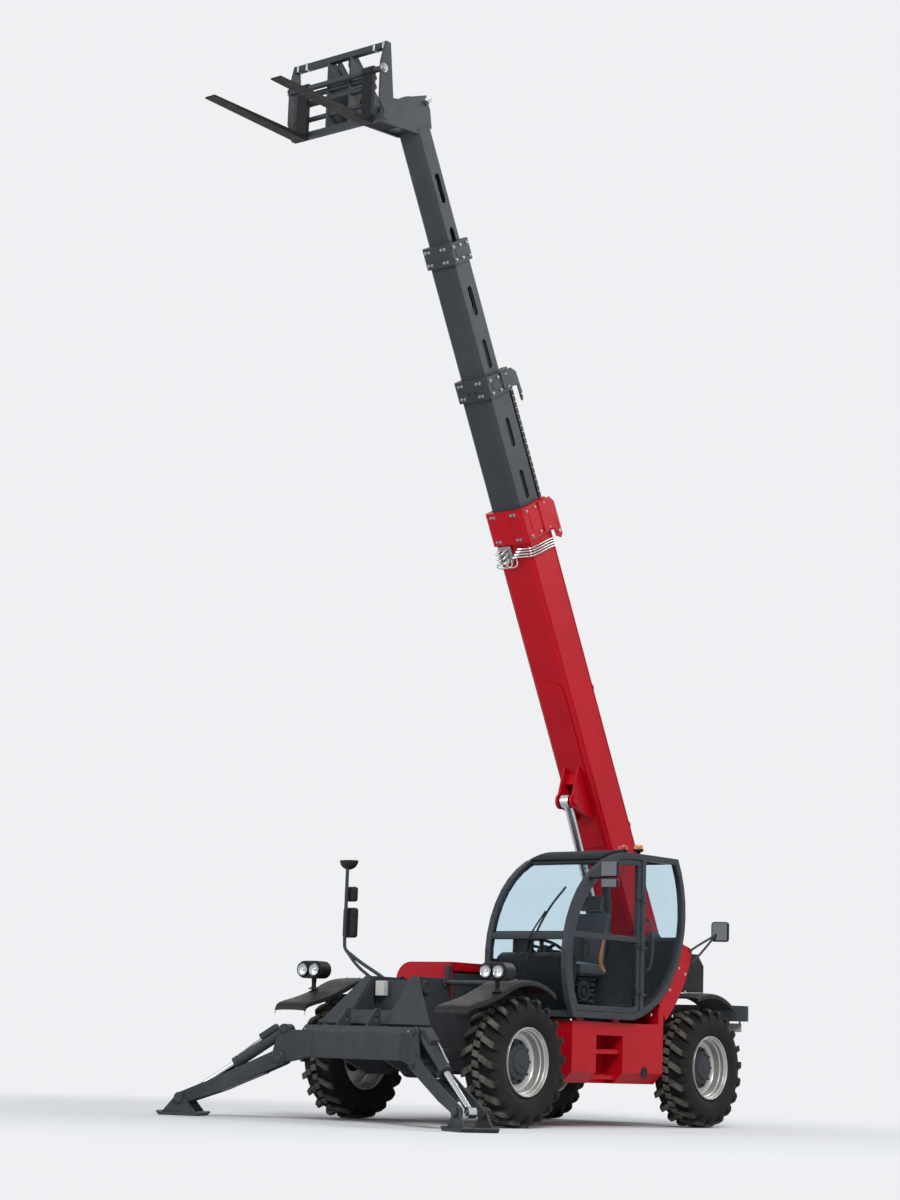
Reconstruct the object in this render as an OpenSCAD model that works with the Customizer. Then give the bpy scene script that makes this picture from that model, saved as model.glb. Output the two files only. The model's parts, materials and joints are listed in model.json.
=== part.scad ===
// Rough-terrain telescopic handler on front stabilisers, boom raised, forks level.
// X runs forward, Y to the left, Z up; the floor is Z = 0.

/* [Stance] */
// Distance between the axles
wheelbase = 3190; // [3100:10:3300]
// Distance between left and right wheel centres
track_w = 2010; // [1980:5:2060]
// Distance between left and right kingpins
kingpin_w = 1500; // [1470:5:1520]
// Outside diameter of the tyres over the lugs
tyre_d = 1230; // [1200:5:1250]
// Section width of the tyres
tyre_w = 400; // [380:5:410]
// Diameter of the rim flanges
rim_d = 656; // [640:1:670]
// Width of the rims over the flanges
rim_w = 350; // [330:5:360]

/* [Boom] */
// Angle of the boom above level
boom_angle = 62; // [50:1:68]
// Sideways place of the boom's middle
boom_y = -110; // [-120:1:-105]
// Boom pivot behind the rear axle
pivot_back = 410; // [390:5:430]
// Height of the boom pivot
pivot_z = 1927; // [1900:5:1960]
// Width of the boom's base section
base_w = 430; // [424:1:436]
// Height of the boom's base section
base_h = 480; // [470:1:500]
// Pivot to the mouth of the base section
base_reach = 5060; // [4950:10:5150]
// Plate thickness of the boom sections
boom_wall = 10; // [8:0.5:12]
// How far each section is run out
run_out = 1150; // [1050:10:1250]
// Length of the collar at each section's mouth
collar_l = 225; // [200:5:250]

/* [Carriage] */
// Width of the fork carriage
carriage_w = 1210; // [1150:10:1250]
// Height of the fork carriage
carriage_h = 790; // [760:5:820]
// Length of the fork blades
fork_l = 1300; // [1200:10:1350]
// Width of the fork blades
fork_w = 125; // [110:1:140]
// Distance between the fork centres
fork_spread = 850; // [780:10:900]

/* [Cab] */
// Inner side of the cab, next to the boom
cab_in_y = 172; // [170:1:180]
// Outer side of the cab
cab_out_y = 1172; // [1160:1:1180]
// Height of the cab's underside
cab_floor_z = 1062; // [1055:1:1070]
// Height of the cab's roof
cab_roof_z = 2737; // [2700:1:2760]
// Width of the cab's frame tubes
cab_tube = 62; // [56:1:66]
// Door opening, hinge post to front curve
door_edge_x = 1325; // [1310:1:1340]

/* [Stabilisers] */
// Half width of the front cross beam
beam_half_w = 693; // [680:1:700]
// Underside of the front cross beam
beam_z = 590; // [580:1:600]
// Height of the front cross beam
beam_h = 310; // [300:1:320]
// Front axle to the front face of the cross beam
beam_ahead = 1147; // [1130:1:1160]
// Stabiliser arm, pin to pin
arm_l = 1051; // [1030:1:1070]
// Forward splay of the stabiliser arms
arm_splay = 24.7; // [23:0.1:26]

/* [Hidden] */
$fn = 48;

// Finishes
red = [0.70, 0.03, 0.07];
charcoal = [0.20, 0.22, 0.24];
black = [0.07, 0.07, 0.08];
silver = [0.78, 0.78, 0.77];
bright = [0.86, 0.87, 0.88];
glass = [0.72, 0.82, 0.86, 0.35];
rubber = [0.10, 0.10, 0.10];

// Shared clearances: cut overrun, pin fit, sliding seat, gap between moving pieces
over = 2;
pin_fit = 0.05;
seat_gap = 0.3;
side_gap = 6;

// Wheel places
tyre_r = tyre_d / 2;
axle_z = tyre_r;
wheel_y = track_w / 2;
kingpin_y = kingpin_w / 2;
front_x = wheelbase;

// Boom sections nest by one wall and one gap each way
nest_gap_w = 18;
nest_gap_h = 26;
collar_gap = 50;
base_collar_l = 360;
collar_wall = 26;
pad_gap = 0.5;
tail_start = 150;
tail_step = 150;
base_tail = 260;
boom_corner = 38;
function section_w(i) = base_w - 2 * i * (boom_wall + nest_gap_w);
function section_h(i) = base_h - 2 * i * (boom_wall + nest_gap_h);
function section_end(i) = base_reach + i * (collar_gap + collar_l + run_out) - (i == 3 ? collar_l : 0);
function section_tail(i) = i == 0 ? -base_tail : tail_start + (i - 1) * tail_step + i * run_out;

// Boom frame: along is the distance from the pivot, above is square to the boom
function boom_x(along, above) = -pivot_back + along * cos(boom_angle) - above * sin(boom_angle);
function boom_z(along, above) = pivot_z + along * sin(boom_angle) + above * cos(boom_angle);
module on_boom() translate([-pivot_back, boom_y, pivot_z]) rotate([0, -boom_angle, 0]) children();

// Carriage pivot on the boom head
head_l = 260;
tip_along = section_end(3) + head_l;
tip_above = -640;
tip_x = boom_x(tip_along, tip_above);
tip_z = boom_z(tip_along, tip_above);

// Forks hang on the carriage; the blade tips are the foremost points
carriage_front = 500;
fork_tip_share = 0.3;
fork_t = 50;
fork_tip_x = tip_x + carriage_front + fork_t + fork_l;

// Rear end of the hitch
weight_back = 1080;
hitch_l = 110;
rear_x = -weight_back - hitch_l;

// The part's origin lies on the floor below the middle of its length
origin_x = (fork_tip_x + rear_x) / 2;
module in_frame() translate([-origin_x, 0, 0]) children();

// General shapes
module box(low, high) translate(low) cube(high - low);
module bar_y(r, y0, y1) translate([0, y0, 0]) rotate([-90, 0, 0]) cylinder(r = r, h = y1 - y0);
module plate_y(y0, y1) translate([0, y1, 0]) rotate([90, 0, 0]) linear_extrude(y1 - y0) children();
module both_sides() {
    children();
    mirror([0, 1, 0]) children();
}
function arc(cx, cy, r, from, to, steps) =
    [for (k = [0:steps]) let (a = from + (to - from) * k / steps) [cx + r * cos(a), cy + r * sin(a)]];
module between(a, b, r) {
    d = b - a;
    h = norm(d);
    translate(a) rotate([0, acos(d[2] / h), atan2(d[1], d[0])]) cylinder(r = r, h = h);
}

// Tyres: two lugged shoulder bands, a lugged middle band and sloping sidewalls
lug_h = 42;
lug_w = 62;
lug_count = 20;
lug_root = 30;
bead_w = 300;
middle_w = 100;
groove_h = 6;
carcass_r = tyre_r - lug_h;
flange_r = rim_d / 2;
flange_lip = 14;
belly_share = 0.55;
block_share = 0.25;
module tyre() {
    half = tyre_w / 2;
    bead_half = bead_w / 2;
    belly_r = flange_r + (carcass_r - flange_r) * belly_share;
    color(rubber) rotate([-90, 0, 0]) difference() {
        union() {
            for (side = [0, 1]) mirror([0, 0, side]) {
                translate([0, 0, bead_half - over])
                    cylinder(r1 = carcass_r - lug_root, r2 = belly_r, h = half - bead_half + over);
                translate([0, 0, middle_w / 2]) tread_band(bead_half - middle_w / 2, carcass_r, side / 2);
            }
            translate([0, 0, -middle_w / 2 - over])
                tread_band(middle_w + 2 * over, carcass_r - groove_h, block_share);
        }
        cylinder(r = flange_r - flange_lip, h = 2 * tyre_w, center = true);
        for (side = [0, 1]) mirror([0, 0, side])
            translate([0, 0, bead_half]) cylinder(r = flange_r + flange_lip, h = half);
    }
}
module tread_band(width, r, phase) linear_extrude(width) {
    circle(r = r);
    for (k = [0:lug_count - 1]) rotate((k + phase) * 360 / lug_count)
        translate([carcass_r - lug_root, -lug_w / 2]) square([lug_h + lug_root, lug_w]);
}

// Rims: a drop-centre band with a dished disc, a hub and its cap
rim_wall = 12;
disc_offset = 10;
disc_t = 16;
hub_r = 130;
hub_l = 92;
spindle_r = 70;
hub_cap_r = 160;
hub_cap_l = 70;
stud_circle = 192;
stud_r = 14;
stud_count = 10;
vent_r = 20;
vent_circle = 255;
module rim() {
    half = rim_w / 2;
    seat_r = flange_r - flange_lip - seat_gap;
    bead_half = bead_w / 2 + seat_gap;
    disc_in = disc_offset - disc_t;
    color(silver) difference() {
        union() {
            rotate([-90, 0, 0]) rotate_extrude() polygon([
                [flange_r, -half],
                [flange_r, -bead_half],
                [seat_r, -bead_half],
                [seat_r, bead_half],
                [flange_r, bead_half],
                [flange_r, half],
                [seat_r - rim_wall, half],
                [seat_r - rim_wall, -half]
            ]);
            bar_y(seat_r - rim_wall / 2, disc_in, disc_offset);
            bar_y(hub_r, disc_offset - hub_l, disc_offset);
            bar_y(hub_cap_r, disc_in, disc_offset + hub_cap_l);
            for (k = [0:stud_count - 1]) rotate([0, (k + 0.5) * 360 / stud_count, 0])
                translate([stud_circle, 0, 0]) bar_y(stud_r, disc_in, disc_offset + disc_t);
        }
        bar_y(spindle_r, disc_offset - hub_l - over, disc_in);
        for (k = [0:stud_count - 1]) rotate([0, k * 360 / stud_count, 0])
            translate([vent_circle, 0, 0]) bar_y(vent_r, disc_in - over, half);
    }
}

// Knuckles: a carrier on the kingpin with the spindle that the hub runs on
carrier_r = 88;
carrier_h = 250;
kingpin_r = 40;
kingpin_over = 34;
yoke_t = 40;
yoke_gap = 2;
steer_arm_l = 230;
steer_arm_w = 60;
steer_arm_t = 36;
module knuckle() {
    spindle_out = wheel_y - kingpin_y + disc_offset - disc_t - side_gap;
    shoulder_out = wheel_y - kingpin_y + disc_offset - hub_l - side_gap;
    color(charcoal) {
        cylinder(r = carrier_r, h = carrier_h, center = true);
        cylinder(r = kingpin_r, h = carrier_h + 2 * (yoke_gap + kingpin_over), center = true);
        bar_y(spindle_r - pin_fit, 0, spindle_out);
        bar_y(hub_r, yoke_w / 2, shoulder_out);
        translate([-steer_arm_l, -steer_arm_w / 2, -steer_arm_t / 2])
            cube([steer_arm_l, steer_arm_w, steer_arm_t]);
    }
}

// Axles: a housing with a centre casing and a yoke at each end
housing_r = 105;
casing_r = 190;
casing_l = 330;
yoke_w = 190;
yoke_back = 130;
module axle() {
    inner_y = kingpin_y - yoke_back;
    color(charcoal) {
        difference() {
            union() {
                bar_y(housing_r, -inner_y, inner_y);
                translate([0, boom_y, 0]) bar_y(casing_r, -casing_l / 2, casing_l / 2);
                both_sides() yoke();
            }
            both_sides() for (flip = [0, 1]) mirror([0, 0, flip])
                translate([0, kingpin_y, carrier_h / 2]) cylinder(r = kingpin_r + pin_fit, h = carrier_h);
        }
    }
}
module yoke() {
    low = carrier_h / 2 + yoke_gap;
    inner_y = kingpin_y - yoke_back;
    for (flip = [0, 1]) mirror([0, 0, flip]) {
        translate([0, kingpin_y, low]) cylinder(r = yoke_w / 2 - yoke_t / 2, h = yoke_t);
        box([-yoke_w / 2, inner_y - yoke_t, low], [yoke_w / 2, kingpin_y, low + yoke_t]);
    }
    box([-yoke_w / 2, inner_y - yoke_t, -low - over], [yoke_w / 2, inner_y, low + over]);
}
module at_front_axle() translate([front_x, 0, axle_z]) children();
module at_rear_axle() translate([0, 0, axle_z]) children();
// Left or right station of an axle, mirrored for knuckles and turned for wheels
module station(out, right) mirror([0, right ? 1 : 0, 0]) translate([0, out, 0]) children();
module wheel_station(right) rotate([0, 0, right ? 180 : 0]) translate([0, wheel_y, 0]) children();

// Chassis: two long side plates with a rear tower for the boom pivot and a front tower
rail_gap = 25;
rail_t = 40;
rail_in = base_w / 2 + rail_gap;
rail_out = rail_in + rail_t;
rail_bottom = 470;
rail_top = 1000;
rail_tail = 800;
tail_rise = 110;
tail_top = 1120;
boss_r = 135;
boom_pin_r = 55;
tower_foot_x = 160;
tower_hole_r = 115;
tower_hole_drop = 520;
window_share = 0.7;
front_tower_back = 140;
front_tower_ramp = 130;
front_tower_l = 640;
front_tower_top = 1390;
tower_nose_x = front_x - front_tower_back + front_tower_l;
vee_from = 14;
vee_in = rail_in + rail_t / 4;
vee_lip = 50;
vee_l = 612;
vee_bridge = 170;
chin_l = 320;
floor_t = 25;
floor_end = 300;
tube_r = 60;
beam_d = 250;
beam_front = front_x + beam_ahead;
beam_back = beam_front - beam_d;
// Foot of the lift cylinder
lift_base_x = -300;
lift_base_z = 900;
lift_pin_r = 40;
lift_lug_in = 62;
lift_lug_t = 25;
lift_lug_r = 72;
lug_sill_z = 740;
lug_sill_h = 60;
lug_sill_l = 230;
rib_t = 20;
module side_plate_outline() polygon(concat(
    [[-rail_tail, rail_bottom + tail_rise], [-rail_tail, tail_top]],
    arc(-pivot_back, pivot_z, boss_r, 165, 15, 10),
    [
        [tower_foot_x, rail_top],
        [front_x - front_tower_back, rail_top],
        [front_x - front_tower_back + front_tower_ramp, front_tower_top],
        [tower_nose_x, front_tower_top],
        [beam_back, beam_z + beam_h],
        [beam_back, beam_z],
        [beam_back - chin_l, rail_bottom]
    ]
));
module side_plates() for (side = [-1, 1])
    plate_y(boom_y + (side < 0 ? -rail_out : rail_in), boom_y + (side < 0 ? -rail_in : rail_out))
        side_plate_outline();
module cross_tube(x, z, r) translate([x, boom_y, z]) bar_y(r, -rail_in - over, rail_in + over);
module chassis_frame() color(charcoal) difference() {
    union() {
        side_plates();
        hood_posts();
        // Floor pan, cross tubes and tail plate
        box([floor_end, boom_y - rail_in - over, rail_bottom],
            [front_x - floor_end, boom_y + rail_in + over, rail_bottom + floor_t]);
        cross_tube(tower_foot_x + front_tower_l, rail_top - 2 * tube_r, tube_r);
        cross_tube(front_x - front_tower_l, rail_top - 2 * tube_r, tube_r);
        cross_tube(front_x + front_tower_back, front_tower_top - 2 * tube_r, tube_r);
        box([-rail_tail, boom_y - rail_in - over, rail_bottom + tail_rise],
            [-rail_tail + floor_t, boom_y + rail_in + over, tail_top]);
        // V-shaped plate from the front tower's sloping edges to the ends of the cross beam
        translate([tower_nose_x, 0, front_tower_top])
            rotate([0, atan2(front_tower_top - beam_z - beam_h, beam_back - tower_nose_x), 0])
                translate([0, 0, -over]) linear_extrude(rib_t) polygon([
                    [vee_from, boom_y + vee_in],
                    [vee_from, boom_y + rail_out + vee_lip],
                    [vee_l, beam_half_w],
                    [vee_l, -beam_half_w],
                    [vee_from, boom_y - rail_out - vee_lip],
                    [vee_from, boom_y - vee_in],
                    [vee_l - vee_bridge, boom_y - vee_in],
                    [vee_l - vee_bridge, boom_y + vee_in]
                ]);
        // Boom pivot pin with its caps
        translate([-pivot_back, boom_y, pivot_z]) {
            bar_y(boom_pin_r, -rail_out - rib_t, rail_out + rib_t);
            for (side = [-1, 1]) mirror([0, side < 0 ? 1 : 0, 0])
                bar_y(boss_r - rib_t, rail_out - over, rail_out + rib_t / 2);
        }
        // Sill and lugs at the foot of the lift cylinder
        box([lift_base_x - lug_sill_l / 2, boom_y - rail_in - over, lug_sill_z],
            [lift_base_x + lug_sill_l / 2, boom_y + rail_in + over, lug_sill_z + lug_sill_h]);
        for (side = [-1, 1]) mirror([0, side < 0 ? 1 : 0, 0])
            translate([0, side * boom_y, 0]) lift_lug();
        translate([lift_base_x, boom_y, lift_base_z])
            bar_y(lift_pin_r, -lift_lug_in - lift_lug_t - rib_t, lift_lug_in + lift_lug_t + rib_t);
    }
    for (x = [0, front_x]) translate([x, 0, axle_z])
        bar_y(housing_r + seat_gap, -wheel_y, wheel_y);
    translate([-pivot_back, 0, pivot_z - tower_hole_drop]) bar_y(tower_hole_r, -wheel_y, wheel_y);
    for (k = [0:2])
        translate([floor_end + front_tower_l * (k + window_share), 0,
            (rail_bottom + rail_top) / 2 - floor_t])
        bar_y(tower_hole_r, -wheel_y, wheel_y);
}
module lift_lug() {
    plate_y(lift_lug_in, lift_lug_in + lift_lug_t) {
        translate([lift_base_x, lift_base_z]) circle(r = lift_lug_r);
        translate([lift_base_x - lift_lug_r, lug_sill_z])
            square([2 * lift_lug_r, lift_base_z - lug_sill_z]);
    }
}

// Stabiliser frame: out is along the splayed arm, up is Z, with its zero on the arm's lower pin
pin_ahead = 56;
pin_out = 190;
arm_pin_z = beam_z - 10;
arm_drop_z = 164;
arm_dip = asin((arm_pin_z - arm_drop_z) / arm_l);
upper_pin_in = 46;
upper_pin_up = 266;
foot_out = arm_l * cos(arm_dip);
module at_arm(right) mirror([0, right ? 1 : 0, 0])
    translate([beam_front + pin_ahead, beam_half_w + pin_out, arm_pin_z]) rotate([0, 0, 90 - arm_splay])
        children();

// Front cross beam: a box with a chamfered nose, gussets to the front tower and stabiliser brackets
beam_wall = 20;
nose_cut = 60;
bracket_in = 66;
bracket_t = 28;
arm_pin_r = 36;
bracket_r = 74;
bracket_root = 330;
gusset_h = 170;
gusset_t = 30;
gusset_inset = 40;
tie_r = 26;
tie_back = 66;
tie_up = 70;
module beam_outline(inset) polygon([
    [beam_back + inset, beam_z + inset],
    [beam_front - inset, beam_z + inset],
    [beam_front - inset, beam_z + beam_h - nose_cut],
    [beam_front - nose_cut, beam_z + beam_h - inset],
    [beam_back + inset, beam_z + beam_h - inset]
]);
module front_beam() {
    color(charcoal) {
        difference() {
            plate_y(-beam_half_w, beam_half_w) beam_outline(0);
            plate_y(-beam_half_w + beam_wall, beam_half_w - beam_wall) beam_outline(beam_wall);
        }
        for (right = [false, true]) at_arm(right) stabiliser_bracket();
        for (y = [boom_y - rail_in + gusset_inset, boom_y + rail_in - gusset_inset - gusset_t])
            plate_y(y, y + gusset_t) difference() {
                polygon([
                    [beam_front - nose_cut, beam_z + beam_h - over],
                    [beam_front - nose_cut, beam_z + beam_h + gusset_t],
                    [beam_back + 2 * gusset_t, beam_z + beam_h + gusset_h],
                    [beam_back + over, beam_z + beam_h + gusset_h],
                    [beam_back + over, beam_z + beam_h - over]
                ]);
                translate([beam_back + tie_back, beam_z + beam_h + tie_up]) circle(r = tie_r);
            }
    }
}
module stabiliser_bracket() {
    for (side = [-1, 1]) mirror([0, side < 0 ? 1 : 0, 0]) plate_y(bracket_in, bracket_in + bracket_t) {
        circle(r = bracket_r);
        translate([-upper_pin_in, upper_pin_up]) circle(r = bracket_r - rib_t);
        polygon([
            [bracket_r, 0],
            [bracket_r - rib_t - upper_pin_in, upper_pin_up],
            [-bracket_root, upper_pin_up],
            [-bracket_root, beam_wall],
            [-bracket_r, -bracket_r / 2]
        ]);
    }
    bar_y(arm_pin_r, -arm_pin_end, arm_pin_end);
    translate([-upper_pin_in, 0, upper_pin_up])
        bar_y(arm_pin_r - side_gap, -bracket_in - bracket_t - rib_t, bracket_in + bracket_t + rib_t);
}

// Stabiliser arm: two plates with a lower web, outside the bracket
arm_in = bracket_in + bracket_t + side_gap;
arm_t = 20;
arm_pin_end = arm_in + arm_t + rib_t;
arm_half_h = 84;
arm_tip_r = 56;
foot_pin_r = 30;
web_t = 14;
web_from_share = 0.18;
web_to_share = 0.62;
module arm_outline() polygon(concat(
    arc(0, 0, bracket_r, 90, 270, 10),
    [[arm_l * web_to_share, -arm_half_h]],
    arc(arm_l, 0, arm_tip_r, -75, 75, 10),
    [[arm_l * web_to_share, arm_half_h * web_to_share]]
));
module stabiliser_arm(right) color(charcoal) at_arm(right) rotate([0, arm_dip, 0]) difference() {
    union() {
        for (side = [-1, 1]) mirror([0, side < 0 ? 1 : 0, 0]) plate_y(arm_in, arm_in + arm_t) arm_outline();
        translate([arm_l * web_from_share, -arm_in - over, -arm_half_h])
            cube([arm_l * (web_to_share - web_from_share), 2 * (arm_in + over), web_t]);
    }
    bar_y(arm_pin_r + pin_fit, -2 * arm_in, 2 * arm_in);
    translate([arm_l, 0, 0]) bar_y(foot_pin_r + pin_fit, -2 * arm_in, 2 * arm_in);
}

// Foot: two triangular ears on a dished sole, hung on stub pins
ear_in = arm_in + arm_t + side_gap;
ear_t = 20;
sole_l = 430;
sole_w = 370;
sole_t = 26;
sole_lip = 30;
module stabiliser_foot(right) color(charcoal) at_arm(right)
    translate([foot_out, 0, arm_drop_z - arm_pin_z]) {
    for (side = [-1, 1]) mirror([0, side < 0 ? 1 : 0, 0]) {
        plate_y(ear_in, ear_in + ear_t) {
            circle(r = arm_tip_r);
            polygon([
                [-arm_tip_r, 0],
                [arm_tip_r, 0],
                [sole_l / 2 - sole_lip, -arm_drop_z + sole_t / 2],
                [-sole_l / 2 + sole_lip, -arm_drop_z + sole_t / 2]
            ]);
        }
        bar_y(foot_pin_r, arm_in, ear_in + ear_t + rib_t);
    }
    plate_y(-sole_w / 2, sole_w / 2) polygon([
        [-sole_l / 2 + sole_lip, -arm_drop_z],
        [sole_l / 2 - sole_lip, -arm_drop_z],
        [sole_l / 2, -arm_drop_z + sole_lip],
        [sole_l / 2 - sole_t / 2, -arm_drop_z + sole_lip + sole_t / 2],
        [sole_l / 2 - sole_lip - sole_t / 3, -arm_drop_z + sole_t],
        [-sole_l / 2 + sole_lip + sole_t / 3, -arm_drop_z + sole_t],
        [-sole_l / 2 + sole_t / 2, -arm_drop_z + sole_lip + sole_t / 2],
        [-sole_l / 2, -arm_drop_z + sole_lip]
    ]);
}

// Hydraulic cylinders lie along X from the barrel's eye at zero to the rod's eye at reach
neck_share = 1.2;
module barrel(r, bore, length, eye_r, eye_w, pin_r) difference() {
    union() {
        bar_y(eye_r, -eye_w / 2, eye_w / 2);
        rotate([0, 90, 0]) cylinder(r = eye_w / 2 - over, h = 2 * eye_r);
        translate([neck_share * eye_r, 0, 0]) rotate([0, 90, 0])
            cylinder(r = r, h = length - neck_share * eye_r);
        translate([length - r, 0, 0]) rotate([0, 90, 0]) cylinder(r = r + r / 9, h = r);
    }
    bar_y(pin_r + pin_fit, -2 * eye_w, 2 * eye_w);
    translate([2 * eye_r, 0, 0]) rotate([0, 90, 0]) cylinder(r = bore, h = length);
}
module rod(r, from, reach, eye_r, eye_w, pin_r) difference() {
    union() {
        translate([from, 0, 0]) rotate([0, 90, 0]) cylinder(r = r, h = reach - from);
        translate([reach, 0, 0]) bar_y(eye_r, -eye_w / 2, eye_w / 2);
    }
    translate([reach, 0, 0]) bar_y(pin_r, -2 * eye_w, 2 * eye_w);
}
// Stabiliser cylinders
leg_reach = norm([foot_out + upper_pin_in, arm_pin_z - arm_drop_z + upper_pin_up]);
leg_dip = atan2(arm_pin_z - arm_drop_z + upper_pin_up, foot_out + upper_pin_in);
leg_r = 54;
leg_rod_r = 34;
leg_barrel_l = 610;
leg_rod_from = 500;
leg_eye_r = 50;
leg_eye_w = 80;
module at_leg(right) at_arm(right) translate([-upper_pin_in, 0, upper_pin_up])
    rotate([0, leg_dip, 0]) children();
module stabiliser_barrel(right) color(charcoal) at_leg(right)
    barrel(leg_r, leg_rod_r + seat_gap, leg_barrel_l, leg_eye_r, leg_eye_w, arm_pin_r - side_gap);
module stabiliser_rod(right) color(bright) at_leg(right)
    rod(leg_rod_r, leg_rod_from, leg_reach, leg_eye_r, leg_eye_w, foot_pin_r);

// Boom sections: bent box tubes with side slots and a collar whose pads carry the next section
slot_l = 240;
slot_w = 74;
slot_first = 640;
slot_pitch = 570;
slot_count = 3;
module bent_box(w, h, corner) polygon([
    [-w / 2 + corner, -h / 2],
    [w / 2 - corner, -h / 2],
    [w / 2, -h / 2 + corner],
    [w / 2, h / 2 - corner],
    [w / 2 - corner, h / 2],
    [-w / 2 + corner, h / 2],
    [-w / 2, h / 2 - corner],
    [-w / 2, -h / 2 + corner]
]);
module along_x(from, to) translate([from, 0, 0]) rotate([90, 0, 90]) linear_extrude(to - from) children();
module section_tube(i) along_x(section_tail(i), section_end(i)) difference() {
    bent_box(section_w(i), section_h(i), boom_corner);
    bent_box(section_w(i) - 2 * boom_wall, section_h(i) - 2 * boom_wall, boom_corner - boom_wall / 2);
}
module section_collar(i, length) along_x(section_end(i) - length, section_end(i)) difference() {
    bent_box(section_w(i) + 2 * collar_wall, section_h(i) + 2 * collar_wall, boom_corner);
    bent_box(section_w(i + 1) + 2 * pad_gap, section_h(i + 1) + 2 * pad_gap, boom_corner);
}
module section_slots(i) for (k = [0:slot_count - 1])
    translate([section_end(i) - slot_first - k * slot_pitch, 0, 0]) {
        translate([-slot_l / 2, -base_w, -slot_w / 2]) cube([slot_l, 2 * base_w, slot_w]);
        for (end = [-1, 1]) translate([end * slot_l / 2, 0, 0]) bar_y(slot_w / 2, -base_w, base_w);
    }

// Lift cylinder's lug under the base section
lug_along = 1880;
lug_drop = 470;
boom_lug_in = 78;
boom_lug_t = 25;
boom_lug_r = 85;
boom_lug_root = 330;
boom_boss_t = 18;
eye_r = 40;
eye_t = 20;
eye_first = 1300;
eye_pitch = 1600;
module boom_base() color(red) on_boom() difference() {
    union() {
        section_tube(0);
        section_collar(0, base_collar_l);
        for (side = [-1, 1]) mirror([0, side < 0 ? 1 : 0, 0]) {
            bar_y(boss_r - rib_t, base_w / 2 - boom_wall, base_w / 2 + boom_boss_t);
            plate_y(boom_lug_in, boom_lug_in + boom_lug_t) {
                translate([lug_along, -lug_drop]) circle(r = boom_lug_r);
                polygon([
                    [lug_along - boom_lug_root, -base_h / 2 + boom_wall / 2],
                    [lug_along - boom_lug_r, -lug_drop],
                    [lug_along + boom_lug_r, -lug_drop],
                    [lug_along + boom_lug_root, -base_h / 2 + boom_wall / 2]
                ]);
            }
            translate([lug_along, 0, -lug_drop])
                bar_y(lift_pin_r, boom_lug_in, boom_lug_in + boom_lug_t + rib_t);
        }
        // Hose eyes along the top edge
        for (k = [0:1]) translate([eye_first + k * eye_pitch, 0, base_h / 2])
            plate_y(base_w / 2 - boom_corner - eye_t, base_w / 2 - boom_corner) difference() {
                circle(r = eye_r);
                circle(r = eye_r / 2);
                translate([-eye_r, -eye_r - boom_wall / 2]) square([2 * eye_r, eye_r]);
            }
    }
    bar_y(boom_pin_r + pin_fit, -base_w, base_w);
}
module boom_section(i) color(charcoal) on_boom() {
    difference() {
        union() {
            section_tube(i);
            if (i < 3) section_collar(i, collar_l);
            // Tail pads run inside the section behind
            along_x(section_tail(i), section_tail(i) + collar_l / 2) difference() {
                bent_box(section_w(i - 1) - 2 * boom_wall - 2 * pad_gap,
                    section_h(i - 1) - 2 * boom_wall - 2 * pad_gap, boom_corner);
                bent_box(section_w(i) - boom_wall, section_h(i) - boom_wall, boom_corner);
            }
        }
        section_slots(i);
    }
    if (i == 3) boom_head();
}

// Boom head: two side plates with a belly plate, reaching down and forward to the carriage pivot
head_in = 99;
head_t = 26;
head_root = 40;
tip_r = 78;
tip_pin_r = 34;
tilt_base_along = tip_along - 40;
tilt_base_above = 150;
tilt_pin_r = 26;
head_belly_share = 0.45;
module boom_head() {
    end = section_end(3);
    half = section_h(3) / 2;
    for (side = [-1, 1]) mirror([0, side < 0 ? 1 : 0, 0]) {
        plate_y(head_in, head_in + head_t) {
            polygon([
                [end - head_root, -half],
                [end - head_root, half],
                [tilt_base_along - tip_r, tilt_base_above + tip_r / 2],
                [tilt_base_along + tip_r, tilt_base_above + tip_r / 2],
                [tip_along + tip_r, -half],
                [tip_along + tip_r, tip_above],
                [tip_along - tip_r, tip_above]
            ]);
            translate([tip_along, tip_above]) circle(r = tip_r);
        }
    }
    translate([tilt_base_along, 0, tilt_base_above])
        bar_y(tilt_pin_r, -head_in - head_t - rib_t, head_in + head_t + rib_t);
    translate([tip_along, 0, tip_above]) bar_y(tip_pin_r, -tip_pin_end, tip_pin_end);
    translate([end - side_gap, -head_in - over, -half + over])
        rotate([0, 90 - atan2(tip_along - tip_r - end, -half - tip_above), 0])
            cube([(-half - tip_above) * head_belly_share, 2 * (head_in + over), boom_wall]);
}

// Drag chain: a run of links from the second section's collar back over the base section
chain_links = 34;
chain_pitch = 66;
chain_w = 70;
chain_h = 46;
chain_gap = 8;
chain_y = 60;
chain_strip = 12;
module drag_chain() color(black) on_boom() {
    low = base_h / 2 + collar_wall + side_gap;
    front = section_end(1) - collar_l / 2;
    for (k = [0:chain_links - 1])
        translate([front - (k + 1) * chain_pitch, chain_y, low])
            cube([chain_pitch - chain_gap, chain_w, chain_h]);
    translate([front - chain_links * chain_pitch, chain_y + chain_w / 4, low + chain_h / 4])
        cube([chain_links * chain_pitch, chain_w / 2, chain_strip]);
    box([front, chain_y, section_h(1) / 2 + collar_wall],
        [section_end(1), chain_y + chain_w, low + chain_h]);
}

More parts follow.
